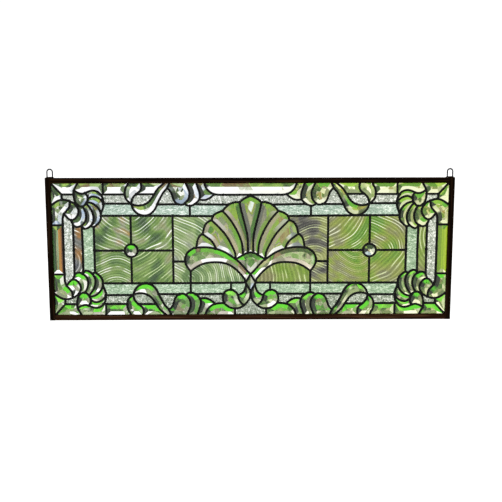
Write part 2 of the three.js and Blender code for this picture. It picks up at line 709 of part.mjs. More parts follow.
// The places where a lead has two panes of one group at its sides, the longest straight ones first.
function sharedSides() {
  const sides = [];
  for (const line of leads) {
    for (let i = 1; i < line.length; i++) {
      const along = line[i].clone().sub(line[i - 1]);
      const middle = line[i - 1].clone().addScaledVector(along, 0.5);
      const aside = new THREE.Vector2(-along.y, along.x).normalize();
      const reach = CAME_WIDTH / 2 + OUTLINE_TOLERANCE;
      const left = paneAt(middle.clone().addScaledVector(aside, reach));
      const right = paneAt(middle.clone().addScaledVector(aside, -reach));
      if (!left || !right || left === right || left.group !== right.group) continue;
      sides.push({ middle, aside, left, right, length: along.length() });
    }
  }
  return sides.sort((a, b) => b.length - a.length);
}

// One bridge of glass under the came for each pane that joins its group.
function bridgesOfGroups() {
  const home = new Map(panes.map((pane) => [pane, pane]));
  const rootOf = (pane) => (home.get(pane) === pane ? pane : rootOf(home.get(pane)));
  return sharedSides().filter(({ left, right }) => {
    if (rootOf(left) === rootOf(right)) return false;
    home.set(rootOf(left), rootOf(right));
    return true;
  });
}

const bridges = bridgesOfGroups();

function bridgeBar({ middle, aside }, clearance) {
  const reach = CAME_WIDTH / 2 + OUTLINE_TOLERANCE + BRIDGE_LAP + clearance;
  const ends = [-reach, reach].map((by) => middle.clone().addScaledVector(aside, by));
  const depth = BRIDGE_DEPTH / 2 + clearance;
  return plate(strip(ends, BRIDGE_WIDTH + 2 * clearance, 0), -depth, depth);
}

// The came lattice: a hole for each pane, and a slot for each bridge.
function lattice() {
  const outer = CAME_DEPTH / 2;
  const blank = plate(rectangle(SIGHT_SIDE + CAME_IN_BAR, SIGHT_HALF_HEIGHT + CAME_IN_BAR), -outer, outer);
  const holes = joined(
    panes.map((pane) => plate(pane.outline, -outer - CUT_THROUGH, outer + CUT_THROUGH)),
  );
  return blank.subtract(holes).subtract(joined(bridges.map((bridge) => bridgeBar(bridge, PUTTY_GAP))));
}

// The glass of each group: its panes, joined by their bridges.
function glassOf(group) {
  const members = panes.filter((pane) => pane.group === group);
  const solids = members.map(({ outline, bevelled }) => {
    const edge = movedIn(outline, () => PUTTY_GAP).corners;
    return bevelled ? bevelledPane(edge) : plate(edge, -GLASS_FACE, GLASS_FACE);
  });
  const bars = bridges.filter(({ left }) => left.group === group).map((bridge) => bridgeBar(bridge, 0));
  return joined([...solids, ...bars]);
}

// A bar's section, from the outer edge inwards: a U with eased outer corners, as [inwards, depth].
const EASED_SHARE = 0.3;

function barSection() {
  const face = BAR_DEPTH / 2;
  const channel = BAR_CHANNEL / 2;
  const eased = BAR_EASING * EASED_SHARE;
  return [
    [BAR_EASING, -face], [BAR_FACE, -face], [BAR_FACE, -channel], [BAR_WEB, -channel],
    [BAR_WEB, channel], [BAR_FACE, channel], [BAR_FACE, face], [BAR_EASING, face],
    [eased, face - eased], [0, face - BAR_EASING], [0, BAR_EASING - face], [eased, eased - face],
  ].map(([inwards, depth]) => new THREE.Vector2(inwards, depth));
}

// A bar along X, with its outer edge at height 0 and its channel upwards.
function bar(length) {
  const geometry = new THREE.ExtrudeGeometry(new THREE.Shape(barSection()), {
    depth: length,
    bevelEnabled: false,
  });
  geometry.translate(0, 0, -length / 2);
  return geometry.applyMatrix4(
    new THREE.Matrix4().makeBasis(
      new THREE.Vector3(0, 0, 1),
      new THREE.Vector3(0, -1, 0),
      new THREE.Vector3(1, 0, 0),
    ),
  );
}

// A hanging loop: wire bent to an arch with straight legs, in a mound of solder on the frame's corner.
// The mound is full height over half its length, and the wire's feet stand a little inside it.
const FOOT_SHARE = 0.3;
const SHOULDER_REACH = 0.85;
const SHOULDER_SHARE = 0.65;
const CROWN_REACH = 0.5;

function hangingLoop() {
  const turn = (LOOP_WIDTH - WIRE_DIAMETER) / 2;
  const top = LOOP_HEIGHT - WIRE_DIAMETER / 2;
  const foot = SOLDER_HEIGHT * FOOT_SHARE;
  const stops = [new THREE.Vector3(-turn, 0, foot)];
  for (let i = 0; i <= ARCH_STEPS; i++) {
    const angle = Math.PI * (1 - i / ARCH_STEPS);
    stops.push(new THREE.Vector3(turn * Math.cos(angle), 0, top - turn + turn * Math.sin(angle)));
  }
  stops.push(new THREE.Vector3(turn, 0, foot));
  const section = new THREE.Shape();
  section.absarc(0, 0, WIRE_DIAMETER / 2, 0, 2 * Math.PI);
  const wire = new THREE.ExtrudeGeometry(section, {
    steps: 2 * ARCH_STEPS,
    curveSegments: WIRE_SIDES / 2,
    bevelEnabled: false,
    extrudePath: new THREE.CatmullRomCurve3(stops, false, "centripetal"),
  });
  const reach = SOLDER_LENGTH / 2;
  const shoulder = SOLDER_HEIGHT * SHOULDER_SHARE;
  const mound = [
    [-reach, 0], [reach, 0], [reach * SHOULDER_REACH, shoulder], [reach * CROWN_REACH, SOLDER_HEIGHT],
    [-reach * CROWN_REACH, SOLDER_HEIGHT], [-reach * SHOULDER_REACH, shoulder],
  ].map(([x, z]) => new THREE.Vector2(x, z));
  return solidOf(wire).add(plate(mound, -SOLDER_WIDTH / 2, SOLDER_WIDTH / 2));
}

const lead = new THREE.MeshStandardMaterial({ color: 0x1b1a18, roughness: 0.55, metalness: 0.6 });
const frameMetal = new THREE.MeshStandardMaterial({ color: 0x2a211b, roughness: 0.5, metalness: 0.6 });
const wireMetal = new THREE.MeshStandardMaterial({ color: 0x8a8f96, roughness: 0.4, metalness: 0.9 });

const glass = (color, roughness) =>
  new THREE.MeshStandardMaterial({ color, roughness, metalness: 0, transparent: true, opacity: 0.55 });
const bevelledGlass = glass(0xa3bd86, 0.03);
const texturedGlass = glass(0xdfe6df, 0.12);
const baroqueGlass = glass(0x93a86c, 0.08);

const texturedGroups = ["outer_textures", "inner_textures", "side_hammered", "side_rippled", "bell"];
const baroqueGroups = ["baroque_field", "shoulder", "dome", "side_baroque"];

function glassMaterial(name) {
  if (texturedGroups.some((start) => name.startsWith(start))) return texturedGlass;
  if (baroqueGroups.some((start) => name.startsWith(start))) return baroqueGlass;
  return bevelledGlass;
}

const panel = new THREE.Group();
panel.position.z = -(PANEL_HEIGHT / 2 + LOOP_BEARING);

function place(name, geometry, material, x = 0, z = 0, turn = 0) {
  const mesh = new THREE.Mesh(geometry, material);
  mesh.name = name;
  mesh.position.set(x, 0, z);
  mesh.rotation.y = turn;
  panel.add(mesh);
}

const betweenSides = PANEL_WIDTH - 2 * (BAR_FACE + CORNER_GAP);
place("frame_bottom_bar", bar(betweenSides), frameMetal, 0, -PANEL_HEIGHT / 2);
place("frame_top_bar", bar(betweenSides), frameMetal, 0, PANEL_HEIGHT / 2, Math.PI);
place("frame_left_bar", bar(PANEL_HEIGHT), frameMetal, -PANEL_WIDTH / 2, 0, Math.PI / 2);
place("frame_right_bar", bar(PANEL_HEIGHT), frameMetal, PANEL_WIDTH / 2, 0, -Math.PI / 2);

for (const [sx, side] of [[-1, "left"], [1, "right"]]) {
  const x = sx * (PANEL_WIDTH / 2 - LOOP_FROM_SIDE);
  place(`hanging_loop_${side}`, geometryOf(hangingLoop()), wireMetal, x, PANEL_HEIGHT / 2);
}

place("lead_came", geometryOf(lattice()), lead);
for (const group of new Set(panes.map((pane) => pane.group))) {
  place(group, geometryOf(glassOf(group)), glassMaterial(group));
}

const stainedGlassWindow = new THREE.Group();
stainedGlassWindow.add(panel);

export default stainedGlassWindow;
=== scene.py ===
# %% [markdown]
# # A leaded transom panel of clear bevelled and textured glass
# This lesson builds the looks of a hanging glass panel: 151 panes in lead came, four U-shaped bars round
# them and two wire loops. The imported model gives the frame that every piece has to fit, in metres. The
# panel is built as a glazier builds it, lying face up on the bench, and is then stood up in its place.

# %% Load the frame
import json
import math
import random

import bpy
from mathutils import Matrix, Vector

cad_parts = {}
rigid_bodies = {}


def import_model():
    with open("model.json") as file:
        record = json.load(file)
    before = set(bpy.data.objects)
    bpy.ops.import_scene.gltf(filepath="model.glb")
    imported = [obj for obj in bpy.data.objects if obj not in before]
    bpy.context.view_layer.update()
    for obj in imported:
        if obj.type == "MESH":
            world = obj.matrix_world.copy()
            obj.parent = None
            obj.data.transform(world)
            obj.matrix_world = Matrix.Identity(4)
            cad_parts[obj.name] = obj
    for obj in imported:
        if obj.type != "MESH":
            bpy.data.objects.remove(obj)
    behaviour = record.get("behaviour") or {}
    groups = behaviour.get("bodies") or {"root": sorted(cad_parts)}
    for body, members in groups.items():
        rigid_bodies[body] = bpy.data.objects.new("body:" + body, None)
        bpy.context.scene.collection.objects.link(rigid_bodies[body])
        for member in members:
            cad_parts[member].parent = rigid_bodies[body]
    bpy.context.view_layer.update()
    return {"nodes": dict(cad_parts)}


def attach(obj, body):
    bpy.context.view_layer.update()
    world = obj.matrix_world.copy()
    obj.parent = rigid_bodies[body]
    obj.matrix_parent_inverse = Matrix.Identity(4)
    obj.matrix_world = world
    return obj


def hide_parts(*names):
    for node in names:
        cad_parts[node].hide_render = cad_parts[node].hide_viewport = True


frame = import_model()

for start_object in [o for o in bpy.data.objects if o.name in ("Cube", "Light", "Camera")]:
    bpy.data.objects.remove(start_object)
bpy.ops.object.select_all(action="DESELECT")
print("nodes in the frame:", len(frame["nodes"]))

# %% [markdown]
# The camera comes first. The photograph looks slightly down on the panel, which shows as a top edge that is
# a little wider than the bottom one. The pitch and the distance come from those two widths, and the lens
# from the panel's size in the picture.

# %% Camera
MM = 0.001
PANEL_MIDDLE = -179.4
PITCH = 8.7
YAW = -0.7
DISTANCE = 1.853

aim = Vector((0.0011, 0.0, PANEL_MIDDLE * MM - 0.0037))
pitch, yaw = math.radians(PITCH), math.radians(YAW)
back = Vector((math.sin(yaw) * math.cos(pitch), -math.cos(yaw) * math.cos(pitch), math.sin(pitch)))
bpy.ops.object.camera_add(location=aim + back * DISTANCE)
camera = bpy.context.object
camera.name = "camera"
camera.data.lens = 58.8
camera.data.sensor_width = 36
upright = (-back).to_track_quat("-Z", "Y")
camera.rotation_euler = (upright.to_matrix() @ Matrix.Rotation(math.radians(-0.05), 3, "Z")).to_euler()
bpy.context.scene.camera = camera
print("camera stands at", [round(v, 3) for v in camera.location])

# %% [markdown]
# Clear glass shows what stands behind it, so the room matters more than for a solid thing. A pale floor runs
# far back under an even white sky, and one large soft lamp from the front left gives the bevels and the
# rounded lead their highlights. The standard view keeps the sRGB colours as they are given.

# %% Floor and light
bpy.context.scene.view_settings.view_transform = "Standard"

bpy.ops.mesh.primitive_plane_add(size=40, location=(0, 8, -1.5))
floor = bpy.context.object
floor.name = "floor"

world = bpy.context.scene.world or bpy.data.worlds.new("studio")
bpy.context.scene.world = world
world.use_nodes = True
sky = world.node_tree.nodes["Background"]
sky.inputs["Color"].default_value = (1, 1, 1, 1)
sky.inputs["Strength"].default_value = 1.05

bpy.ops.object.light_add(type="AREA", location=(-1.6, -2.2, 1.6))
key = bpy.context.object
key.name = "key_light"
key.data.size = 1.6
key.data.energy = 40
key.rotation_euler = (Vector((0, 0, -0.18)) - key.location).to_track_quat("-Z", "Y").to_euler()

# %% [markdown]
# Every material is a few nodes. Two helpers keep them short: one turns a colour as a painter reads it, in
# hex, into the linear numbers that the renderer works with, and one adds a node with its settings and links.

# %% Helpers for materials
def colour(code):
    parts = [int(code[i:i + 2], 16) / 255 for i in (1, 3, 5)]
    return [p / 12.92 if p <= 0.04045 else ((p + 0.055) / 1.055) ** 2.4 for p in parts] + [1]


def add(tree, kind, inputs=None, stops=None, **settings):
    node = tree.nodes.new("ShaderNode" + kind)
    for name, value in settings.items():
        setattr(node, name, value)
    for name, value in (inputs or {}).items():
        if isinstance(value, bpy.types.NodeSocket):
            tree.links.new(value, node.inputs[name])
        else:
            node.inputs[name].default_value = colour(value) if isinstance(value, str) else value
    if stops:
        while len(node.color_ramp.elements) < len(stops):
            node.color_ramp.elements.new(1)
        for element, (place, code) in zip(node.color_ramp.elements, stops):
            element.position = place
            element.color = colour(code)
    return node


def start_material(name):
    material = bpy.data.materials.new(name)
    material.use_nodes = True
    tree = material.node_tree
    shader = tree.nodes["Principled BSDF"]
    place = add(tree, "TexCoord").outputs["Object"]
    return material, tree, shader, place


print("mid grey in linear light:", [round(c, 3) for c in colour("#808080")[:3]])

# %% Floor of matt pale paint
paint, tree, shader, place = start_material("matt_floor_paint")
grain = add(tree, "TexNoise", {"Vector": place, "Scale": 3.0, "Detail": 4.0})
tone = add(tree, "ValToRGB", {"Fac": grain.outputs["Fac"]}, stops=[(0.3, "#fbfbfa"), (0.7, "#ffffff")])
tree.links.new(tone.outputs["Color"], shader.inputs["Base Color"])
shader.inputs["Roughness"].default_value = 0.9
shader.inputs["Emission Color"].default_value = (1, 1, 1, 1)
shader.inputs["Emission Strength"].default_value = 0.25
floor.data.materials.append(paint)
print("floor is", paint.name)

# %% [markdown]
# A glazier's cartoon is the full-size drawing that the lead lines follow. Here each line is a row of knots,
# [x, z] in millimetres from the middle of the panel, with a smooth curve through them. The border is drawn
# once for a quarter and mirrored four ways, and its heights are measured from the middle outwards. The other
# lines are mirrored from left to right alone.

# %% Cartoon of the border, one quarter
border_leads = {
    "mitre": [[455, 161.6], [421.5, 125]],
    "mitre_stub": [[421.5, 125], [421, 113.5]],
    "corner_row": [[421.5, 125], [394, 125]],
    "leaf_and_drop": [
        [450, 96], [444.5, 101], [435, 108], [426, 112.3], [417.5, 113.3], [408, 111.3], [398, 107],
        [390.5, 101], [385.8, 93], [384.8, 85.4], [387.7, 77.4], [393.4, 70.5], [400.3, 67.5],
        [406, 69.3], [411, 74], [416.8, 82]],
    "leaf_edge": [[404, 110], [405, 98], [409.5, 90.5], [417, 82], [420.2, 73], [421, 60]],
    "upper_drop": [
        [383, 155], [388, 145], [392.3, 137], [394.6, 128], [394, 117.6], [391.8, 109], [386.5, 101.5],
        [379, 98], [371.6, 100.3], [365.2, 108.4], [363.2, 116.4], [364.7, 122.7], [368.5, 128.2]],
    "wave_and_rim": [
        [391, 133.5], [385.4, 129], [376.2, 126.7], [368.2, 128.5], [360, 132], [351, 133.6],
        [341.7, 131.3], [335, 125.6], [330.5, 117.6], [328.5, 108], [328.7, 100], [330.8, 92], [335.5, 82]],
    "first_rib": [[363, 115], [354.4, 120], [345, 119.3], [337, 115.3], [331.4, 109.5], [328.8, 102]],
    "second_rib": [
        [366, 107], [360, 107], [351, 103.8], [341.7, 95.7], [336, 85.4], [335, 74], [338.3, 63.6],
        [346.3, 55.6], [352, 52], [358.5, 54]],
    "third_rib": [
        [368.5, 103.5], [364, 101.5], [356.7, 91], [352.3, 79.7], [352, 67], [356.7, 56.7], [364.7, 49.8],
        [372.7, 48], [379.6, 53.3]],
    "fourth_rib": [
        [377, 98], [373.5, 94.5], [369, 84], [368.2, 73], [371.6, 62.4], [379.6, 55], [388.8, 52],
        [397, 56], [402.6, 66]],
    "touching_cames": [[387.2, 102], [390, 100.6]],
    "side_bevel_end": [[450, 56], [421, 56]],
    "side_line_one": [[421, 60], [421, 0]],
    "side_line_two": [[398, 58], [398, 0]],
    "side_line_three": [[377.7, 53], [377.7, 0]],
    "side_line_four": [[352, 53], [352, 0]],
    "corner_divider": [[329, 155], [329, 125]],
    "outer_row": [[334, 125], [280, 125]],
    "middle_row": [[329, 104.4], [266.7, 104]],
    "comma_outside": [
        [272, 155], [274.2, 146], [278.2, 139.4], [280.5, 130], [280, 120], [276, 111.8], [266.7, 104]],
    "comma_inside": [
        [246, 155], [244.2, 147], [243.7, 140.5], [246, 133.6], [251.8, 128], [259.8, 121], [264.4, 114],
        [266.7, 104]],
    "outer_row_in_ribbon": [[255, 125], [214.5, 125]],
    "ribbon_inside": [
        [266.7, 104], [259.8, 101], [250.6, 99.8], [240.3, 101.3], [231, 105.5], [223, 113],
        [216.2, 123.3], [210.4, 132.5], [204.7, 139.4], [197.8, 145.7], [187, 155]],
    "ribbon_outside": [
        [266.7, 104], [263.3, 93.4], [256.4, 84.8], [248.3, 79.7], [239.2, 77.6], [228.8, 79],
        [219.6, 84.8], [212.7, 93.4], [208.2, 103.8], [202.4, 115.3], [194.4, 129], [186.3, 138.8],
        [179, 155]],
    "middle_row_to_petal": [[208, 101.8], [161.5, 101.8]],
    "petal_one": [
        [186, 139.2], [178.8, 131.3], [175, 122], [171.4, 111.8], [165.7, 105], [157.6, 101.7],
        [149.6, 102.6], [142.7, 108.4], [138, 116.4], [136.4, 128], [139.3, 138], [147, 155]],
    "petal_two": [
        [146.5, 105], [143.9, 101], [136.7, 98.9], [127.6, 101.3], [119.4, 107.4], [114.8, 113],
        [113.3, 120], [113.8, 128], [116.3, 136], [123, 155]],
    "petal_three": [[114, 113], [104, 112], [96, 114], [88.8, 118], [81, 124.5]],
    "half_round": [
        [104, 155], [102.3, 147], [99, 139], [95, 134], [88.8, 128.8], [80.6, 125.2], [70.4, 123.7],
        [60.8, 123.7]],
    "middle_row_to_fan": [[125, 101.7], [62, 101.7]],
    "ripple_divider": [[135.8, 99], [135.8, 77]],
    "inner_row": [[336, 77], [239.2, 77]],
    "inner_row_to_middle": [[239.2, 77], [86.7, 77]],
}
print("lead lines in a quarter of the border:", len(border_leads))

# %% Cartoon of the middle, one half
middle_leads = {
    "top_bevel_foot": [[60.8, 123.7], [0, 123.7]],
    "top_middle_row": [[62, 101.7], [49, 101.7]],
    "fan_petal_a": [[122.4, 5], [120.4, 15.6], [118.4, 23.7], [114.3, 31], [107.7, 35.5]],
    "fan_petal_b": [[107.7, 35.5], [104.5, 49], [101.3, 56.4], [96, 62.5], [87.3, 66.6]],
    "fan_petal_c": [[87.3, 66.6], [86, 71], [83.7, 76.8], [77.6, 81.5], [70.4, 85], [62.4, 87.3]],
    "fan_petal_d": [
        [62.4, 87.3], [58, 93], [53, 98], [47, 102.8], [40, 105.3], [32.7, 107], [24.6, 106.8]],
    "fan_petal_e": [[24.6, 106.8], [17.3, 113], [9.2, 117.6], [0, 121.5]],
    "fan_rib_ab": [[107.7, 35.5], [99, 28.8], [90.8, 22.7], [84.7, 15.6], [79.6, 6.4], [78.5, 2]],
    "fan_rib_bc": [
        [87.3, 66.6], [78.6, 58.4], [70.4, 50], [62, 41], [55, 32], [48, 20.7], [41.8, 8.4], [37.8, 0],
        [34.7, -9], [33.4, -22]],
    "fan_rib_cd": [
        [62.4, 87.3], [52, 75.8], [44, 65.6], [36.7, 54.3], [30.6, 43], [25.5, 32], [21, 19.6],
        [18.4, 7.4], [17, -12]],
    "fan_rib_de": [
        [24.6, 106.8], [21, 89], [17.3, 74.7], [12.8, 57.4], [8.7, 40], [6.3, 23.7], [6, 7.4], [6, -7.5]],
    "shield_top": [[31.5, -21], [22, -15.5], [12.7, -10], [4.7, -7.2], [0, -6.6]],
    "wing_upper": [
        [135.5, -49.5], [141.3, -42], [146.5, -33], [148.2, -25], [147, -16], [143, -8], [136.7, -2],
        [127.6, 3.3], [118.4, 4.8], [107, 5.3], [95, 4.8], [82.7, 2.8], [72.4, 0], [60, -5], [51, -10],
        [38, -19.2], [28.8, -26], [19.6, -35.3], [9.3, -47], [0, -56.5]],
    "wing_lower": [
        [135.5, -49.5], [127.5, -43.3], [118.3, -37.6], [105.7, -32], [92, -29.6], [78, -29],
        [64.4, -30], [51.7, -33.6], [40.3, -40], [30, -48.5], [20.7, -58.3], [14, -67.4], [11.5, -76]],
    "diamond_upper": [[0, -56.5], [11.5, -76]],
    "diamond_lower": [[11.5, -76], [0, -96]],
    "wing_tie": [[174.8, -27.3], [148, -27.3]],
    "dome_side": [[135.5, -49.5], [135.5, -77]],
    "field_line_one_top": [[269, 77], [269, 12.5]],
    "field_line_one_foot": [[269, -77], [269, -16.5]],
    "field_line_two": [[174.8, 77], [174.8, -77]],
    "field_cross_outside": [[352, -2], [283.5, -2]],
    "field_cross_inside": [[254.5, -2], [174.8, -2]],
    "foot_row": [[86.7, -77], [11.5, -76]],
    "foot_divider": [[44.5, -77], [44.5, -93]],
    "roundel": [
        [15, -128.3], [23, -121.4], [27.6, -112], [28.4, -106.5], [32.2, -99.6], [40.3, -93.8],
        [48, -92.7], [55, -95], [60.2, -100], [63.2, -111], [61.3, -121.4], [55, -128.3], [46, -134],
        [35.5, -136.3]],
    "foot_of_roundel_and_leaf": [
        [35.5, -136.3], [25.3, -134.6], [15, -128.3], [7, -120.3], [1.4, -110], [0, -96]],
    "leaf_outside": [[11.5, -76], [10.4, -82.4], [12, -89.3], [16, -97.3], [22, -102.6], [28.8, -104.5]],
    "bell_side": [[35.3, -136], [35.3, -155]],
}
print("lead lines in a half of the middle:", len(middle_leads))

# %% [markdown]
# Real came is cut a little long and butted against the next one, so each loose end is carried on to the
# nearest line. The curve through the knots is the one whose direction at a knot is that of its neighbours.

# %% Smooth lines through the knots
SIGHT_SIDE = 444.5
SIGHT_HALF = 149.5
CAME_IN_BAR = 5
REACH = 6
CORNER_CATCH = 1.2
STEPS = 5


def smooth_line(knots, steps=STEPS):
    if len(knots) == 2:
        return [knots[0].copy(), knots[1].copy()]
    line = [knots[0].copy()]
    for i in range(len(knots) - 1):
        a, b = knots[i], knots[i + 1]
        lean_a = (b - knots[max(i - 1, 0)]) / 2
        lean_b = (knots[min(i + 2, len(knots) - 1)] - a) / 2
        for k in range(1, steps + 1):
            t = k / steps
            cubic = (2 * a - 2 * b + lean_a + lean_b) * t ** 3
            square = (-3 * a + 3 * b - 2 * lean_a - lean_b) * t ** 2
            line.append(cubic + square + lean_a * t + a)
    return line


def nearest_on(line, point):
    best = (1e9, None)
    for a, b in zip(line, line[1:]):
        along = b - a
        share = min(max((point - a).dot(along) / max(along.length_squared, 1e-9), 0), 1)
        foot = a + along * share
        best = min(best, ((foot - point).length, foot), key=lambda pair: pair[0])
    return best


def all_knots():
    rows = []
    for side in (-1, 1):
        for level in (-1, 1):
            for knots in border_leads.values():
                rows.append([Vector((x * side, z * level)) for x, z in knots])
        for knots in middle_leads.values():
            rows.append([Vector((x * side, z)) for x, z in knots])
    return rows


def at_bar(point):
    return abs(point.x) > SIGHT_SIDE - 1 or abs(point.y) > SIGHT_HALF - 1


def joined_lines():
    rows = all_knots()
    rough = [smooth_line(row) for row in rows]
    joints = []
    for i, row in enumerate(rows):
        for end in (0, -1):
            if at_bar(row[end]):
                continue
            others = [line for j, line in enumerate(rough) if j != i]
            away, foot = min((nearest_on(line, row[end]) for line in others), key=lambda pair: pair[0])
            if away > REACH:
                continue
            caught = [p for p in joints if (p - foot).length < CORNER_CATCH]
            row[end] = caught[0].copy() if caught else foot.copy()
            if not caught:
                joints.append(row[end].copy())
    return [smooth_line(row) for row in rows], joints


def trimmed(line):
    limit_x, limit_z = SIGHT_SIDE + CAME_IN_BAR, SIGHT_HALF + CAME_IN_BAR
    points = [p for p in line if abs(p.x) < limit_x and abs(p.y) < limit_z]
    for end, step in ((0, 1), (-1, -1)):
        outside = line[end]
        if outside in points:
            continue
        inside = points[end]
        share = 1.0
        for axis, limit in ((0, limit_x), (1, limit_z)):
            if abs(outside[axis]) > limit:
                share = min(share, (limit - abs(inside[axis])) / (abs(outside[axis]) - abs(inside[axis])))
        points.insert(0 if step > 0 else len(points), inside.lerp(outside, share))
    return points


lead_lines, joints = joined_lines()
lead_lines = [trimmed(line) for line in lead_lines]
lead_length = sum((b - a).length for line in lead_lines for a, b in zip(line, line[1:]))
print("lead lines:", len(lead_lines), "joints:", len(joints), "metres of came:", round(lead_length / 1000, 1))

# %% [markdown]
# Everything is first laid on the bench: x to the right, y up the panel, and the front face upwards. A line
# swept with a flat section becomes a bar of that section, which is how came, cutters and wire all start.
# The sweep is a curve with a bevel profile, turned into a mesh at once.

# %% Sweeping a section along a line
def pick(objects):
    bpy.ops.object.select_all(action="DESELECT")
    for obj in objects:
        obj.select_set(True)
    bpy.context.view_layer.objects.active = objects[0]


def profile(name, points):
    data = bpy.data.curves.new(name, "CURVE")
    data.dimensions = "2D"
    spline = data.splines.new("POLY")
    spline.points.add(len(points) - 1)
    for target, (x, y) in zip(spline.points, points):
        target.co = (x * MM, y * MM, 0, 1)
    spline.use_cyclic_u = True
    obj = bpy.data.objects.new(name, data)
    bpy.context.collection.objects.link(obj)
    return obj


def sweep(name, line, section, closed=False):
    data = bpy.data.curves.new(name, "CURVE")
    data.dimensions = "2D"
    data.fill_mode = "NONE"
    spline = data.splines.new("POLY")
    spline.points.add(len(line) - 1)
    for target, point in zip(spline.points, line):
        target.co = (point.x * MM, point.y * MM, 0, 1)
    spline.use_cyclic_u = closed
    data.bevel_mode = "OBJECT"
    data.bevel_object = section
    data.use_fill_caps = not closed
    obj = bpy.data.objects.new(name, data)
    bpy.context.collection.objects.link(obj)
    return obj


def to_meshes(objects):
    pick(objects)
    bpy.ops.object.convert(target="MESH")
    bpy.ops.object.mode_set(mode="EDIT")
    bpy.ops.mesh.select_all(action="SELECT")
    bpy.ops.mesh.remove_doubles(threshold=1e-6)
    bpy.ops.mesh.normals_make_consistent(inside=False)
    bpy.ops.object.mode_set(mode="OBJECT")
    bpy.ops.object.select_all(action="DESELECT")


def join(objects, name):
    pick(objects)
    bpy.ops.object.join()
    objects[0].name = name
    bpy.ops.object.select_all(action="DESELECT")
    return objects[0]


print("sections are drawn in millimetres, of", MM, "metres each")

# %% Standing the work up
def stand_up(obj):
    pick([obj])
    obj.rotation_euler = (math.radians(90), 0, 0)
    obj.location = (0, 0, PANEL_MIDDLE * MM)
    bpy.ops.object.transform_apply(location=True, rotation=True, scale=True)
    bpy.ops.object.select_all(action="DESELECT")


print("the middle of the bench stands up to a height of", PANEL_MIDDLE, "mm")

# %% [markdown]
# Lead came is a soft H-shaped strip, rolled with two leaves that hold the glass and a thin heart between
# them. The leaves are slightly domed, which is what gives each line its thin highlight. Each line is swept
# with that section. The rondel in each baroque field has a round lead of its own.

# %% Lead came
CAME_WIDTH = 5.0
HEART = 1.6
LEAF_EDGE = 1.9
LEAF_TOP = 3.0
GLASS_FACE = 1.5
RONDEL = Vector((269, -2))
RONDEL_RADIUS = 14.5

SHOULDER = 0.62
SHOULDER_DROP = 0.25

half_leaf, half_heart = CAME_WIDTH / 2, HEART / 2
crown_to_root = [
    (half_leaf * SHOULDER, LEAF_TOP - SHOULDER_DROP), (half_leaf, LEAF_EDGE), (half_leaf, GLASS_FACE + 0.1),
    (half_heart, GLASS_FACE + 0.25)]
right_side = crown_to_root + [(x, -y) for x, y in reversed(crown_to_root)]
left_side = [(-x, y) for x, y in reversed(right_side)]
came_section = profile(
    "came_section", left_side[4:] + [(0, LEAF_TOP)] + right_side + [(0, -LEAF_TOP)] + left_side[:4])


def rondel_line(side, sides=40):
    turns = [2 * math.pi * i / sides for i in range(sides)]
    middle = Vector((RONDEL.x * side, RONDEL.y))
    return [middle + RONDEL_RADIUS * Vector((math.cos(t), math.sin(t))) for t in turns]


came_pieces = [sweep("came", line, came_section) for line in lead_lines]
came_pieces += [sweep("came", rondel_line(side), came_section, closed=True) for side in (-1, 1)]
to_meshes(came_pieces)
print("came pieces:", len(came_pieces), "faces:", sum(len(o.data.polygons) for o in came_pieces))

# %% [markdown]
# Where two cames meet, a drop of solder bridges them on both faces: a low round mound a little wider than
# the came. One is modelled, and each joint gets its own copy, turned and sized a little differently.

# %% Solder joints
random.seed(7)
bpy.ops.mesh.primitive_uv_sphere_add(segments=8, ring_count=4, radius=3.4 * MM)
drop = bpy.context.object
drop.scale = (1, 1, 0.16)
bpy.ops.object.transform_apply(location=False, rotation=False, scale=True)
drops = []
for joint in joints:
    for face in (-1, 1):
        copy = drop.copy()
        copy.data = drop.data.copy()
        size = random.uniform(0.85, 1.1)
        copy.scale = (size, size * random.uniform(0.8, 1.0), 1)
        copy.rotation_euler = (0, 0, random.uniform(0, math.pi))
        copy.location = (joint.x * MM, joint.y * MM, face * 2.75 * MM)
        bpy.context.collection.objects.link(copy)
        drops.append(copy)
bpy.data.objects.remove(drop)
came = join(came_pieces + drops, "came_and_joints")
pick([came])
bpy.ops.object.transform_apply(location=True, rotation=True, scale=True)
print("solder drops:", len(drops), "faces in the came:", len(came.data.polygons))

# %% [markdown]
# Glass is cut and then ground. The cutters are the lead lines again: a narrow slot where the heart of the
# came goes, and for bevelled glass a wide shallow groove over it, which leaves the sloping facets on both
# sides. A cone at each joint rounds the groove's end. All grooves together leave the exact mitres that a
# bevelling wheel leaves, also where a pane runs out to a point.

# %% Cutters
CLEARANCE = 0.3
BEVEL_WIDTH = 8.0
FIELD = 3.4
slot_half = HEART / 2 + CLEARANCE
groove_top = FIELD + 0.2
groove_half = half_leaf + BEVEL_WIDTH * (groove_top - GLASS_FACE) / (FIELD - GLASS_FACE)
deep = -GLASS_FACE - 1

slot_section = profile("slot_section", [
    (-slot_half, deep), (slot_half, deep), (slot_half, groove_top), (-slot_half, groove_top)])
groove_section = profile("groove_section", [
    (-slot_half, deep), (slot_half, deep), (slot_half, GLASS_FACE), (half_leaf, GLASS_FACE),
    (groove_half, groove_top), (-groove_half, groove_top), (-half_leaf, GLASS_FACE),
    (-slot_half, GLASS_FACE)])
edge_reach = groove_half - half_leaf
edge_section = profile("edge_section", [
    (-edge_reach, groove_top), (0, GLASS_FACE), (9, GLASS_FACE), (9, groove_top)])


def lengthened(line, by=1.0):
    first = (line[0] - line[1]).normalized() * (3 if at_bar(line[0]) else by)
    last = (line[-1] - line[-2]).normalized() * (3 if at_bar(line[-1]) else by)
    return [line[0] + first] + line[1:-1] + [line[-1] + last]


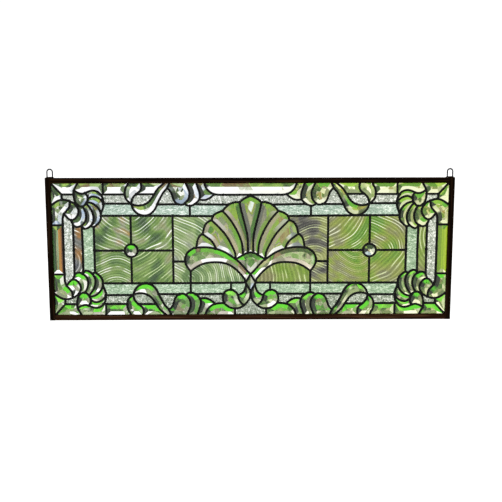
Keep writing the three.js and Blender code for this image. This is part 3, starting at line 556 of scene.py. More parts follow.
def cutters(section, bevelled):
    made = [sweep("cutter", lengthened(line), section) for line in lead_lines]
    made += [sweep("cutter", rondel_line(side), section, closed=True) for side in (-1, 1)]
    if bevelled:
        corners = [Vector((x * SIGHT_SIDE, z * SIGHT_HALF)) for x, z in ((-1, -1), (1, -1), (1, 1), (-1, 1))]
        for start, end in zip(corners, corners[1:] + corners[:1]):
            along = (end - start).normalized() * 12
            made.append(sweep("cutter", [start - along, end + along], edge_section))
    to_meshes(made)
    if bevelled:
        height = groove_top - GLASS_FACE
        for joint in joints:
            bpy.ops.mesh.primitive_cone_add(
                vertices=20, radius1=half_leaf * MM, radius2=groove_half * MM, depth=height * MM,
                location=(joint.x * MM, joint.y * MM, (GLASS_FACE + height / 2) * MM))
            made.append(bpy.context.object)
    group = bpy.data.collections.new("cutters")
    bpy.context.scene.collection.children.link(group)
    for obj in made:
        for old in list(obj.users_collection):
            old.objects.unlink(obj)
        group.objects.link(obj)
    return group


def cut(blank, group):
    pick([blank])
    modifier = blank.modifiers.new("cut", "BOOLEAN")
    modifier.operation = "DIFFERENCE"
    modifier.operand_type = "COLLECTION"
    modifier.collection = group
    modifier.solver = "MANIFOLD"
    bpy.ops.object.modifier_apply(modifier="cut")
    bpy.ops.object.mode_set(mode="EDIT")
    bpy.ops.mesh.select_all(action="SELECT")
    bpy.ops.mesh.separate(type="LOOSE")
    bpy.ops.object.mode_set(mode="OBJECT")
    parts = list(bpy.context.selected_objects)
    bpy.ops.object.select_all(action="DESELECT")
    return parts


plain_cutters = cutters(slot_section, False)
bevel_cutters = cutters(groove_section, True)

# %% [markdown]
# Four sheets are laid on the bench. The bevelled panes come from thick plate. The textured ones come from
# thinner rolled glass, whose top face was pressed by a patterned roller: long soft waves for baroque glass,
# small dents for hammered glass and fine cross ripples for rippled glass. A sheet starts as a grid, is
# extruded to its thickness, and its top is displaced by the roller's pattern before it is cut.

# %% Rolled sheets and the thick plate
GLASS_SIDE = 450.5
GLASS_HALF = 155.5


def texture(name, kind, **settings):
    made = bpy.data.textures.new(name, kind)
    for key, value in settings.items():
        setattr(made, key, value)
    return made


def rolled_sheet(name, columns, rows, pattern, strength, longer=1.0):
    bpy.ops.mesh.primitive_grid_add(
        x_subdivisions=columns, y_subdivisions=rows, size=1, location=(0, 0, -GLASS_FACE * MM))
    sheet = bpy.context.object
    sheet.name = name
    sheet.scale = (2 * GLASS_SIDE * MM / longer, 2 * GLASS_HALF * MM, 1)
    bpy.ops.object.transform_apply(location=True, rotation=False, scale=True)
    bpy.ops.object.mode_set(mode="EDIT")
    bpy.ops.mesh.select_all(action="SELECT")
    bpy.ops.mesh.extrude_region_move(TRANSFORM_OT_translate={"value": (0, 0, 2 * GLASS_FACE * MM)})
    bpy.ops.mesh.select_all(action="SELECT")
    bpy.ops.mesh.normals_make_consistent(inside=False)
    bpy.ops.object.mode_set(mode="OBJECT")
    top = sheet.vertex_groups.new(name="top")
    top.add([v.index for v in sheet.data.vertices if v.co.z > 0], 1, "ADD")
    pick([sheet])
    relief = sheet.modifiers.new("relief", "DISPLACE")
    relief.texture = pattern
    relief.texture_coords = "LOCAL"
    relief.direction = "Z"
    relief.vertex_group = "top"
    relief.strength = strength * MM
    relief.mid_level = 1.0
    bpy.ops.object.modifier_apply(modifier="relief")
    sheet.scale = (longer, 1, 1)
    bpy.ops.object.transform_apply(location=False, rotation=False, scale=True)
    return sheet


def thick_plate():
    bpy.ops.mesh.primitive_cube_add(size=1, location=(0, 0, (FIELD - GLASS_FACE) / 2 * MM))
    plate = bpy.context.object
    plate.scale = (2 * GLASS_SIDE * MM, 2 * GLASS_HALF * MM, (FIELD + GLASS_FACE) * MM)
    bpy.ops.object.transform_apply(location=True, rotation=False, scale=True)
    return plate


waves = texture("roller_waves", "CLOUDS", noise_scale=0.014, noise_depth=1)
dents = texture("roller_dents", "VORONOI", noise_scale=0.0045, noise_intensity=1.0)
ripples = texture("roller_ripples", "CLOUDS", noise_scale=0.004, noise_depth=1)
print("sheets measure", 2 * GLASS_SIDE, "by", 2 * GLASS_HALF, "mm")

# %% Cut every sheet
bevelled_parts = cut(thick_plate(), bevel_cutters)
print("bevelled plate cut into", len(bevelled_parts))
baroque_parts = cut(rolled_sheet("baroque_sheet", 360, 124, waves, 0.9), plain_cutters)
print("baroque sheet cut into", len(baroque_parts))
hammered_parts = cut(rolled_sheet("hammered_sheet", 520, 180, dents, 0.5), plain_cutters)
print("hammered sheet cut into", len(hammered_parts))
rippled_parts = cut(rolled_sheet("rippled_sheet", 300, 330, ripples, 0.35, longer=3.0), plain_cutters)
print("rippled sheet cut into", len(rippled_parts))

# %% [markdown]
# The cut sheets hold more pieces than the panel needs, because each kind of glass was cut all over. Each
# pane of the panel is listed by its node, its glass and a point inside it, and the piece under that point
# is kept. The rest goes back to the rack.

# %% List of the panes
border_panes = [
    ("corner_border", "bevelled", 436, 118), ("corner_border", "bevelled", 412, 135),
    ("corner_border", "hammered", 407, 118), ("corner_border", "bevelled", 350, 141),
    ("rosette", "bevelled", 434, 88), ("rosette", "bevelled", 400, 85), ("rosette", "bevelled", 380, 112),
    ("rosette", "bevelled", 350, 127), ("rosette", "bevelled", 343, 109), ("rosette", "bevelled", 344, 75),
    ("rosette", "bevelled", 361, 75), ("rosette", "bevelled", 382, 65),
    ("border_bevels", "bevelled", 305, 137), ("border_bevels", "bevelled", 262, 133),
    ("border_bevels", "bevelled", 228, 137), ("border_bevels", "hammered", 233, 116),
    ("ribbon", "bevelled", 236, 90), ("outer_textures", "hammered", 305, 114),
    ("outer_textures", "rippled", 305, 91), ("inner_textures", "hammered", 187, 115),
    ("inner_textures", "rippled", 180, 90), ("inner_textures", "hammered", 95, 108),
    ("inner_textures", "rippled", 110, 90), ("petals", "bevelled", 158, 125),
    ("petals", "bevelled", 127, 118), ("petals", "bevelled", 103, 122),
]
half_panes = [
    ("side_bevel_strip", "bevelled", 433, 0), ("side_hammered_strip", "hammered", 409, 0),
    ("side_baroque_strip", "baroque", 388, 0), ("side_rippled_strip", "rippled", 365, 0),
    ("baroque_field", "baroque", 310, 40), ("baroque_field", "baroque", 220, 40),
    ("baroque_field", "baroque", 310, -40), ("baroque_field", "baroque", 220, -40),
    ("rondel", "bevelled", 269, -2), ("shoulder", "baroque", 150, 40), ("shoulder", "baroque", 155, -55),
    ("dome", "baroque", 90, -55), ("wing", "bevelled", 100, -12), ("foot_bevel", "bevelled", 65, -138),
    ("foot_bevel", "bevelled", 46, -112), ("foot_bevel", "bevelled", 15, -108),
]
shell_panes = [(106, 18), (80, 40), (60, 65), (40, 90)]
middle_panes = [
    ("shell", "bevelled", 0, 60), ("shield", "bevelled", 0, -28), ("diamond", "bevelled", 0, -76),
    ("top_centre_bevel", "bevelled", 0, 137), ("bell", "hammered", 0, -138),
]

pane_list = list(middle_panes)
for side, side_name in ((-1, "left"), (1, "right")):
    for level, level_name in ((-1, "bottom"), (1, "top")):
        for node, kind, x, z in border_panes:
            pane_list.append((f"{node}_{level_name}_{side_name}", kind, x * side, z * level))
    for node, kind, x, z in half_panes:
        pane_list.append((f"{node}_{side_name}", kind, x * side, z))
    for x, z in shell_panes:
        pane_list.append(("shell", "bevelled", x * side, z))
    pane_list.append((f"inner_textures_bottom_{side_name}", "rippled", 30 * side, -85))
print("panes listed:", len(pane_list))

# %% Keep the panes that the panel needs
racks = {"bevelled": bevelled_parts, "baroque": baroque_parts, "hammered": hammered_parts,
         "rippled": rippled_parts}


def piece_under(parts, x, z):
    for part in parts:
        xs = [corner[0] for corner in part.bound_box]
        ys = [corner[1] for corner in part.bound_box]
        if not (min(xs) < x * MM < max(xs) and min(ys) < z * MM < max(ys)):
            continue
        if part.ray_cast(Vector((x * MM, z * MM, 0.05)), Vector((0, 0, -1)))[0]:
            return part
    raise RuntimeError(f"no pane lies at {x}, {z}")


panes = []
for node, kind, x, z in pane_list:
    part = piece_under(racks[kind], x, z)
    part.name = f"pane_{node}_{len(panes)}"
    panes.append((part, node, kind, x, z))
kept = {part.name for part, *_ in panes}
print("panes kept:", len(kept))
for parts in racks.values():
    for part in parts:
        if part.name not in kept:
            bpy.data.objects.remove(part)
for group in (plain_cutters, bevel_cutters):
    for cutter in list(group.objects):
        bpy.data.objects.remove(cutter)
    bpy.data.collections.remove(group)

# %% [markdown]
# Bevelled glass is clear plate, ground to a slope at its edges and polished. What the eye sees in it is the
# garden behind, and here that view is painted into the glass's colour: each slope bends the view another way,
# so the slopes that face up are painted bright grass green, those that face down white sky, and the flat
# middle a mix, in small sharp shards. The slope's own direction picks the painted colour, so it holds from
# every side.
# Shards are Voronoi cells with bent borders, about a centimetre across. Clear glass takes half of its colour
# at each face, so the ground front face gets all of it, squared, and the flat back stays white. Otherwise
# each slope would be washed with the field's colour.

# %% Bevelled glass, ground and polished
LEAN = 0.14


def glass_shader(shader, roughness):
    shader.inputs["Transmission Weight"].default_value = 1.0
    shader.inputs["IOR"].default_value = 1.5
    shader.inputs["Roughness"].default_value = roughness


def patches(tree, where, size):
    bend = add(tree, "TexNoise", {"Vector": where, "Scale": 600 / size, "Detail": 1.0})
    bent = add(tree, "Mix", {0: 0.3 * size * MM, 6: where, 7: bend.outputs["Color"]}, data_type="RGBA",
               blend_type="ADD")
    shards = add(tree, "TexVoronoi", {"Vector": bent.outputs[2], "Scale": 1000 / size, "Smoothness": 0.2},
                 feature="SMOOTH_F1")
    random_tone = add(tree, "SeparateXYZ", {"Vector": shards.outputs["Color"]}).outputs["X"]
    soft = add(tree, "TexNoise", {"Vector": where, "Scale": 2000 / size, "Detail": 1.0}).outputs["Fac"]
    return add(tree, "Mix", {0: 0.15, 2: random_tone, 3: soft}).outputs[0]


# Painted light: multiplies the glass's colour by a pale yellow that grows towards the right.
def yellower_to_the_right(tree, place, tint, strength):
    across = add(tree, "SeparateXYZ", {"Vector": place}).outputs["X"]
    share = add(tree, "MapRange", {"Value": across, "From Min": -0.1, "From Max": 0.4, "To Max": strength})
    return add(tree, "Mix", {0: share.outputs[0], 6: tint, 7: "#f4f7c0"}, data_type="RGBA",
               blend_type="MULTIPLY").outputs[2]


def bevelled_glass(name, up, down, side, field, size=15, stretch=None, turn=LEAN):
    material, tree, shader, place = start_material(name)
    glass_shader(shader, 0.02)
    where = stretch(tree, place) if stretch else place
    small, large = patches(tree, where, size), patches(tree, where, 2.2 * size)
    lean = add(tree, "SeparateXYZ", {"Vector": add(tree, "NewGeometry").outputs["Normal"]})
    sideways = add(tree, "Math", {0: lean.outputs["X"]}, operation="ABSOLUTE").outputs[0]
    half = add(tree, "Math", {0: large, 1: 0.5, 2: 0.25}, operation="MULTIPLY_ADD").outputs[0]
    handed = add(tree, "Math", {0: lean.outputs["X"], 1: 1.1, 2: half}, operation="MULTIPLY_ADD").outputs[0]

    def painted(tint, slope, high, tone, stops):
        share = add(tree, "MapRange", {"Value": slope, "From Min": high * 0.7, "From Max": high})
        seen = add(tree, "ValToRGB", {"Fac": tone}, stops=stops)
        return add(tree, "Mix", {0: share.outputs[0], 6: tint, 7: seen.outputs["Color"]},
                   data_type="RGBA").outputs[2]

    # Painted view: the field, side, up and down palettes paint the garden and sky seen through each slope.
    tint = add(tree, "ValToRGB", {"Fac": small}, stops=field).outputs["Color"]
    tint = painted(tint, sideways, LEAN, handed, side)
    tint = painted(tint, lean.outputs["Z"], turn, large, up)
    tint = painted(tint, lean.outputs["Z"], -turn, large, down)
    tint = yellower_to_the_right(tree, place, tint, 0.8)
    twice = add(tree, "Mix", {0: 1.0, 6: tint, 7: tint}, data_type="RGBA", blend_type="MULTIPLY")
    depth = add(tree, "SeparateXYZ", {"Vector": place}).outputs["Y"]
    front = add(tree, "Math", {0: depth, 1: 0.0}, operation="LESS_THAN")
    ground_face = add(tree, "Mix", {0: front.outputs[0], 6: "#ffffff", 7: twice.outputs[2]}, data_type="RGBA")
    tree.links.new(ground_face.outputs[2], shader.inputs["Base Color"])
    return material


def rays_from_the_shield(tree, place):
    shield_centre = PANEL_MIDDLE - 22
    turned = add(tree, "Mapping", {"Vector": place, "Location": (0, -shield_centre * MM, 0),
                                   "Rotation": (math.pi / 2, 0, 0)})
    angle = add(tree, "TexGradient", {"Vector": turned.outputs[0]}, gradient_type="RADIAL")
    height = add(tree, "SeparateXYZ", {"Vector": place}).outputs["Z"]
    wide = add(tree, "Math", {0: angle.outputs["Fac"], 1: 0.75}, operation="MULTIPLY")
    long = add(tree, "Math", {0: height, 1: 0.16}, operation="MULTIPLY")
    return add(tree, "CombineXYZ", {"X": wide.outputs[0], "Y": long.outputs[0]}).outputs[0]


def upright_streaks(tree, place):
    return add(tree, "Mapping", {"Vector": place, "Scale": (1.6, 1, 0.04)}).outputs[0]


bevel_slope = math.degrees(math.atan2(FIELD - GLASS_FACE, BEVEL_WIDTH))
print("the bevels slope by", round(bevel_slope, 1), "degrees")

# %% [markdown]
# A palette says what is seen in one kind of slope, painted into its colour: each pair is a share of the
# random tone and the colour from there on. The lawn lies low and the sky stands high, so the panes at the
# foot, the head, the curls, the shell and the wings have palettes of their own. To the right a yellower light
# is painted over the glass all the way up.

# %% Palettes of the slopes, and the bevelled glasses
grass = [(0.54, "#56c41c"), (0.68, "#86d84a"), (0.80, "#4c8a22"), (0.89, "#2f4c1a"), (0.95, "#cfe0b8")]
pale_stone = [(0.30, "#ffffff"), (0.42, "#d8cec6"), (0.56, "#9a9c88"), (0.72, "#66764a"), (0.88, "#a4b08a")]
dark_stone = [(0.26, "#1c2a16"), (0.42, "#486830"), (0.52, "#747c5c"), (0.62, "#a0a48c"), (0.74, "#569028"),
              (0.90, "#dcddd0")]
lawn_field = [(0.15, "#2c4824"), (0.33, "#5f8438"), (0.46, "#a2a880"), (0.58, "#7c7262"), (0.70, "#5ca42a"),
              (0.80, "#8c9a5c"), (0.92, "#d0d4bc")]

curl_stone = [(0.22, "#f6f6f2"), (0.34, "#b8b0a6"), (0.48, "#7c8468"), (0.68, "#4c6430"), (0.88, "#8c9c70")]
curl_shade = [(0.26, "#1a2614"), (0.42, "#3f5c2c"), (0.54, "#646c4c"), (0.64, "#8e947c"), (0.76, "#4c8426"),
              (0.90, "#cdd0bc")]
curl_lawn = [(0.15, "#22401a"), (0.32, "#4c7a2c"), (0.45, "#8c9672"), (0.56, "#766a54"), (0.68, "#58a42a"),
             (0.80, "#3a5826"), (0.92, "#c8ccb0")]

dull_grass = [(0.25, "#2a421e"), (0.42, "#547830"), (0.56, "#8cac4c"), (0.70, "#6a5638"), (0.84, "#88a860"),
              (0.93, "#c4d0a8")]
sky_white = [(0.72, "#ffffff"), (0.86, "#dfe0e4"), (0.95, "#8f9a9c")]
cloud_side = [(0.24, "#1c2619"), (0.38, "#536a3c"), (0.48, "#8f9c8c"), (0.56, "#ffffff"), (0.78, "#c4ccd0"),
              (0.92, "#5c7048")]
clear_field = [(0.62, "#ffffff"), (0.78, "#e4e6dc"), (0.92, "#a8b29c")]

bright_grass = [(0.30, "#5c8c28"), (0.48, "#88b83a"), (0.66, "#a6c656"), (0.80, "#4c6c24"), (0.92, "#d4dcae")]
cream_sky = [(0.46, "#fbfcf4"), (0.62, "#cdd2b8"), (0.78, "#96a27c"), (0.92, "#6c8448")]
cream_side = [(0.24, "#3a5624"), (0.38, "#88a84e"), (0.50, "#c4ccac"), (0.60, "#f6f8ec"), (0.78, "#b4bc96"),
              (0.92, "#7c9848")]
cream_field = [(0.34, "#f6f8ec"), (0.50, "#cdd3b4"), (0.64, "#a0ae84"), (0.78, "#bcac80"), (0.90, "#66843f")]

curl_down = [(0.34, "#ffffff"), (0.50, "#a4b8d4"), (0.68, "#6c7870"), (0.86, "#3e522a")]
curl_side = [(0.28, "#161f14"), (0.41, "#40582b"), (0.53, "#7a8674"), (0.63, "#e8ecee"), (0.75, "#98acc4"),
             (0.85, "#c8ccc4"), (0.94, "#566a3e")]
curl_field = [(0.16, "#2c401c"), (0.34, "#5e7a3c"), (0.48, "#949c80"), (0.60, "#eceee8"), (0.69, "#909ca8"),
              (0.78, "#8a704e"), (0.88, "#608034"), (0.95, "#ccd4c8")]

ochre_up = [(0.30, "#5aa028"), (0.50, "#8fb83c"), (0.65, "#3f5c24"), (0.80, "#a8a050"), (0.92, "#d4dca0")]
ochre_down = [(0.36, "#f4f6ea"), (0.52, "#bcc4a0"), (0.70, "#747c60"), (0.86, "#46582a")]
ochre_side = [(0.26, "#24321a"), (0.42, "#587a2e"), (0.53, "#989c60"), (0.63, "#e2e4d2"), (0.76, "#a4ac7c"),
              (0.90, "#566a40")]
ochre_field = [(0.16, "#3c5c20"), (0.33, "#84a23e"), (0.46, "#b4b868"), (0.57, "#e4e6d6"), (0.67, "#98a098"),
               (0.78, "#a08c50"), (0.88, "#62882c")]

shell_up = [(0.26, "#669628"), (0.42, "#98ac52"), (0.56, "#4a7a24"), (0.72, "#86b03c"), (0.86, "#7c7a48"),
            (0.94, "#d4dcc0")]
shell_down = [(0.62, "#ffffff"), (0.74, "#aab2bc"), (0.86, "#5e6064"), (0.95, "#3c6c24")]
shell_side = [(0.22, "#5c6056"), (0.32, "#8a8870"), (0.42, "#a8a080"), (0.50, "#568426"), (0.62, "#2c541c"),
              (0.74, "#7c8046"), (0.84, "#5e9428"), (0.94, "#a4b078")]
shell_field = [(0.10, "#3c7020"), (0.24, "#849c2c"), (0.38, "#a09e7c"), (0.50, "#74776a"), (0.60, "#7ea02c"),
               (0.72, "#87754c"), (0.80, "#a2b26a"), (0.88, "#dfe8f2")]

wing_up = [(0.34, "#56b41e"), (0.48, "#648a36"), (0.60, "#384e22"), (0.72, "#8a7458"), (0.84, "#5ca028"),
           (0.94, "#b0a482")]
wing_down = [(0.44, "#ffffff"), (0.58, "#d8ccc2"), (0.72, "#9a9884"), (0.88, "#646c50")]
wing_field = [(0.16, "#46662e"), (0.32, "#7c9c58"), (0.46, "#b4bc98"), (0.58, "#8a8474"), (0.70, "#5c8036"),
              (0.82, "#a0a67c"), (0.92, "#3c5824")]

gold_side = [(0.18, "#16240f"), (0.32, "#2c4c22"), (0.46, "#5c7c48"), (0.58, "#c89638"), (0.70, "#7a4c1c"),
             (0.82, "#241409"), (0.92, "#0d0a06")]
gold_field = [(0.14, "#2c4c22"), (0.32, "#5e8248"), (0.48, "#8c9c7a"), (0.64, "#5c7040"), (0.80, "#9c8448"),
              (0.92, "#c8ccb4")]
lime_side = [(0.20, "#3c5812"), (0.36, "#648420"), (0.52, "#8caa24"), (0.70, "#a4b82e"), (0.86, "#64841e")]
lime_field = [(0.15, "#648e18"), (0.33, "#94b024"), (0.50, "#7c9e1a"), (0.66, "#9c9a34"), (0.82, "#688e1c"),
              (0.93, "#4a6e16")]

low_bevel = bevelled_glass("polished_plate_over_the_lawn", grass, pale_stone, dark_stone, lawn_field, 12)
low_curl = bevelled_glass(
    "polished_plate_in_the_low_curls", grass, curl_stone, curl_shade, curl_lawn, 10, turn=0.18)
high_bevel = bevelled_glass("polished_plate_under_the_sky", dull_grass, sky_white, cloud_side, clear_field)
cream_bevel = bevelled_glass(
    "polished_plate_under_the_trees", bright_grass, cream_sky, cream_side, cream_field, 11)
curl_bevel = bevelled_glass(
    "polished_plate_in_the_high_curls", dull_grass, curl_down, curl_side, curl_field, 9)
ochre_curl = bevelled_glass("polished_plate_in_the_ochre", ochre_up, ochre_down, ochre_side, ochre_field, 10)
shell_bevel = bevelled_glass(
    "polished_plate_in_the_shell", shell_up, shell_down, shell_side, shell_field, 11,
    rays_from_the_shield, 0.2)
wing_bevel = bevelled_glass("polished_plate_in_the_wings", wing_up, wing_down, dark_stone, wing_field, 16)
left_strip = bevelled_glass(
    "polished_plate_beside_the_gold", dull_grass, sky_white, gold_side, gold_field, 5, upright_streaks)
right_strip = bevelled_glass(
    "polished_plate_beside_the_lime", bright_grass, cream_sky, lime_side, lime_field, 8, upright_streaks)
print("bevelled glasses:", len([m for m in bpy.data.materials if m.name.startswith("polished_plate")]))

# %% [markdown]
# Baroque glass is poured and stretched while it is soft, and reamy lines stay in it that bend in long
# curves and gather in bundles. The white light they catch is painted on them, and the garden seen between
# them is painted in green and olive.
# Two ring waves with the same bend make them: a fine one for the lines, and a wider one that fades them in
# and out. Each pane was cut from another part of the sheet, so its lines turn round a point of their own.

# %% Baroque glass, drawn with reamy lines
PULLED = 21
PULL_LENGTH = 95
BUNDLE = 3.6
CLOUD = 52
FADE = 34


def baroque_glass(name, turn_x, turn_z, spacing, base, vein_glint="#f2f6ec"):
    material, tree, shader, place = start_material(name)
    glass_shader(shader, 0.05)
    moved = add(tree, "Mapping", {"Vector": place,
                                  "Location": (-turn_x * MM, 0, -(turn_z + PANEL_MIDDLE) * MM)})

    rings = []
    for gap in (spacing, spacing * BUNDLE):
        per_metre = 2 * math.pi * 1000 / (20 * gap)
        rings.append(add(tree, "TexWave", {
            "Vector": moved.outputs[0], "Scale": per_metre, "Distortion": 2 * math.pi * PULLED / gap,
            "Detail": 1.0, "Detail Scale": 1000 / PULL_LENGTH / per_metre},
            wave_type="RINGS", rings_direction="Y").outputs["Fac"])
    fine, bundles = rings
    fade = add(tree, "TexNoise", {"Vector": moved.outputs[0], "Scale": 1000 / FADE, "Detail": 1.0})
    thin = add(tree, "ValToRGB", {"Fac": fine}, stops=[(0.80, "#000000"), (0.97, "#ffffff")])
    bundled = add(tree, "MapRange", {"Value": bundles, "From Min": 0.35, "From Max": 0.75, "To Min": 0.12})
    seen = add(tree, "MapRange", {"Value": fade.outputs["Fac"], "From Min": 0.40, "From Max": 0.52})
    lines = add(tree, "Math", {0: thin.outputs["Color"], 1: bundled.outputs[0]}, operation="MULTIPLY")
    lines = add(tree, "Math", {0: lines.outputs[0], 1: seen.outputs[0]}, operation="MULTIPLY")
    cloud = add(tree, "TexNoise", {"Vector": place, "Scale": 1000 / CLOUD, "Detail": 1.5, "Distortion": 0.6})
    bands = add(tree, "MapRange", {"Value": bundles, "To Min": -0.05, "To Max": 0.05})
    both = add(tree, "Math", {0: cloud.outputs["Fac"], 1: bands.outputs[0]}, operation="ADD")
    ground = add(tree, "ValToRGB", {"Fac": both.outputs[0]}, stops=base)
    shade = add(tree, "Mix", {0: fine, 6: "#d3d9c8", 7: "#ffffff"}, data_type="RGBA")
    tint = add(tree, "Mix", {0: 1.0, 6: ground.outputs["Color"], 7: shade.outputs[2]}, data_type="RGBA",
               blend_type="MULTIPLY")
    # The reamy lines are painted with the white light they catch.
    tint = add(tree, "Mix", {0: lines.outputs[0], 6: tint.outputs[2], 7: vein_glint}, data_type="RGBA")
    tree.links.new(tint.outputs[2], shader.inputs["Base Color"])
    bump = add(tree, "Bump", {"Height": fine, "Strength": 0.2, "Distance": 0.0005})
    tree.links.new(bump.outputs[0], shader.inputs["Normal"])
    return material


dry_left = [(0.27, "#34502a"), (0.40, "#587a36"), (0.52, "#78924c"), (0.60, "#8a8e78"), (0.68, "#a08648")]
lawn_left = [(0.27, "#34502a"), (0.40, "#547632"), (0.52, "#759246"), (0.62, "#8c9872"), (0.70, "#8c8c60")]
lawn_right = [(0.30, "#5e8c18"), (0.43, "#7e962e"), (0.54, "#8a9244"), (0.66, "#80805c")]
lilac_left = [(0.32, "#5c7a44"), (0.44, "#869e62"), (0.56, "#9ca882"), (0.68, "#848c80")]
violet_right = [(0.34, "#3c3a38"), (0.45, "#66645a"), (0.54, "#888c50"), (0.66, "#a2a66c")]
amber = [(0.38, "#54565f"), (0.50, "#70706c"), (0.60, "#92662e")]
lime = [(0.36, "#708e20"), (0.50, "#82963e"), (0.65, "#807e50")]
faint = "#c4cf9c"

baroque_glasses = {
    (-310, 40): baroque_glass("baroque_glass_a", -262, 118, 7.0, dry_left),
    (-220, 40): baroque_glass("baroque_glass_b", -285, 128, 7.0, lawn_left),
    (-310, -40): baroque_glass("baroque_glass_c", -302, -96, 6.0, lawn_left),
    (-220, -40): baroque_glass("baroque_glass_d", -340, 110, 7.5, lawn_left, "#bfcf9c"),
    (-150, 40): baroque_glass("baroque_glass_e", -186, -30, 6.5, lilac_left),
    (-155, -55): baroque_glass("baroque_glass_f", -190, -90, 6.5, lilac_left),
    (-90, -55): baroque_glass("baroque_glass_g", -140, -72, 5.0, lilac_left),
    (-388, 0): baroque_glass("baroque_glass_h", -430, -30, 9.0, amber),
    (310, 40): baroque_glass("baroque_glass_i", 262, -20, 6.5, lawn_right, "#e6ecca"),
    (220, 40): baroque_glass("baroque_glass_j", 120, 150, 6.5, lawn_right, "#e6ecca"),
    (310, -40): baroque_glass("baroque_glass_k", 225, 60, 7.0, lawn_right, faint),
    (220, -40): baroque_glass("baroque_glass_l", 236, 12, 4.0, lawn_right, faint),
    (150, 40): baroque_glass("baroque_glass_m", 146, -26, 6.0, violet_right, faint),
    (155, -55): baroque_glass("baroque_glass_n", 120, -120, 6.0, violet_right, faint),
    (90, -55): baroque_glass("baroque_glass_o", -60, -60, 9.0, lime, faint),
    (388, 0): baroque_glass("baroque_glass_p", 470, 20, 9.0, lime, faint),
}
print("baroque glasses:", len(baroque_glasses))

# %% [markdown]
# Hammered and rippled glass are rolled too. They scatter the view so finely that only light and dark flecks
# are left of it, and these flecks are painted into the colour: short dark strokes in the hammered glass, and
# a mint tone with fine waves in the rippled. A little of the yellower light is painted in towards the right.
# A narrow dark stop in the middle of the noise draws those strokes, as a contour line on a map does.

# %% Hammered and rippled glass
def rolled_glass(name, size, longer, stops):
    material, tree, shader, place = start_material(name)
    glass_shader(shader, 0.08)
    drawn = add(tree, "Mapping", {"Vector": place, "Scale": (1 / longer, 1, 1)})
    marks = add(tree, "TexNoise", {
        "Vector": drawn.outputs[0], "Scale": 1000 / size, "Detail": 2.0, "Distortion": 1.6})
    tint = add(tree, "ValToRGB", {"Fac": marks.outputs["Fac"]}, stops=stops).outputs["Color"]
    tree.links.new(yellower_to_the_right(tree, place, tint, 0.2), shader.inputs["Base Color"])
    bump = add(tree, "Bump", {"Height": marks.outputs["Fac"], "Strength": 0.4, "Distance": 0.0008})
    tree.links.new(bump.outputs[0], shader.inputs["Normal"])
    return material


hammered_glasses = [
    rolled_glass("hammered_glass_over_the_lawn", 5.5, 1.0, [
        (0.36, "#34442c"), (0.43, "#98a68f"), (0.49, "#2e3c26"), (0.54, "#b4beac"), (0.63, "#e8ece4")]),
    rolled_glass("hammered_glass_under_the_sky", 5.5, 1.0, [
        (0.36, "#4e5c4a"), (0.43, "#c4cabf"), (0.49, "#3c4a36"), (0.54, "#d5dad1"), (0.62, "#fafbf9")])]
rippled_glasses = [
    rolled_glass("rippled_glass_over_the_lawn", 4.2, 2.6, [
        (0.36, "#5c7c58"), (0.43, "#a0ba98"), (0.48, "#44664a"), (0.53, "#a8c2a0"), (0.64, "#dce8d6")]),
    rolled_glass("rippled_glass_under_the_sky", 4.2, 2.6, [
        (0.36, "#688674"), (0.43, "#b4c8b8"), (0.48, "#4c6c58"), (0.53, "#b8ccbc"), (0.63, "#f0f6f0")])]


print("rolled glasses:", len(hammered_glasses + rippled_glasses))


# %% Choose the glass of each pane
def glass_for(node, kind, x, z):
    if kind == "bevelled":
        if node == "shell":
            return shell_bevel
        if node.startswith("wing"):
            return wing_bevel
        if node in ("rondel_right", "rosette_top_left", "petals_top_left", "diamond"):
            return curl_bevel
        if node in ("rosette_top_right", "petals_top_right", "ribbon_top_right"):
            return ochre_curl
        if node.startswith(("ribbon_bottom", "petals_bottom", "shield")):
            return low_curl
        if node in ("rosette_bottom_right", "foot_bevel_left", "rondel_left"):
            return low_curl
        if node.startswith("side_bevel_strip"):
            return left_strip if x < 0 else right_strip
        if z > 60:
            return high_bevel if x <= 0 else cream_bevel
        return low_bevel
    if kind == "baroque":
        return baroque_glasses[(x, z)]
    if kind == "rippled":
        return rippled_glasses[0 if z < 60 else 1]
    return hammered_glasses[0 if z < -60 else 1]


print("the shell is of", glass_for("shell", "bevelled", 0, 60).name)

# %% Set the panes in their places
for part, node, kind, x, z in panes:
    part.data.materials.clear()
    part.data.materials.append(glass_for(node, kind, x, z))
    pick([part])
    bpy.ops.object.shade_smooth_by_angle(angle=math.radians(8 if kind == "bevelled" else 40))
    stand_up(part)
    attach(part, "root")
    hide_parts(node)
print("panes set:", len(panes))

# %% [markdown]
# Lead goes dark in the air and with the patina that is rubbed on after soldering, drops and all. Its colour
# is painted darker still, near black, as painted shade of lead seen against the light. It is soft, so its
# shine is broken by small dents.

# %% Dark lead
def dark_lead():
    material, tree, shader, place = start_material("rolled_lead_with_black_patina_and_painted_shade")
    grime = add(tree, "TexNoise", {"Vector": place, "Scale": 1000 / 9, "Detail": 4.0})
    # Near-black tones: black patina, darkened further with painted shade.
    tone = add(tree, "ValToRGB", {"Fac": grime.outputs["Fac"]}, stops=[
        (0.35, "#020202"), (0.60, "#090908"), (0.75, "#1c1b18")])
    tree.links.new(tone.outputs["Color"], shader.inputs["Base Color"])
    shader.inputs["Metallic"].default_value = 0.7
    shader.inputs["Specular IOR Level"].default_value = 0.3
    rough = add(tree, "MapRange", {"Value": grime.outputs["Fac"], "To Min": 0.35, "To Max": 0.6})
    tree.links.new(rough.outputs[0], shader.inputs["Roughness"])
    dents = add(tree, "TexNoise", {"Vector": place, "Scale": 1000 / 3, "Detail": 2.0})
    bump = add(tree, "Bump", {"Height": dents.outputs["Fac"], "Strength": 0.25, "Distance": 0.0005})
    tree.links.new(bump.outputs[0], shader.inputs["Normal"])
    return material


came.data.materials.clear()
came.data.materials.append(dark_lead())
pick([came])
bpy.ops.object.shade_smooth_by_angle(angle=math.radians(40))
stand_up(came)
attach(came, "root")
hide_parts("lead_came")
print("came triangles:", sum(len(p.vertices) - 2 for p in came.data.polygons))
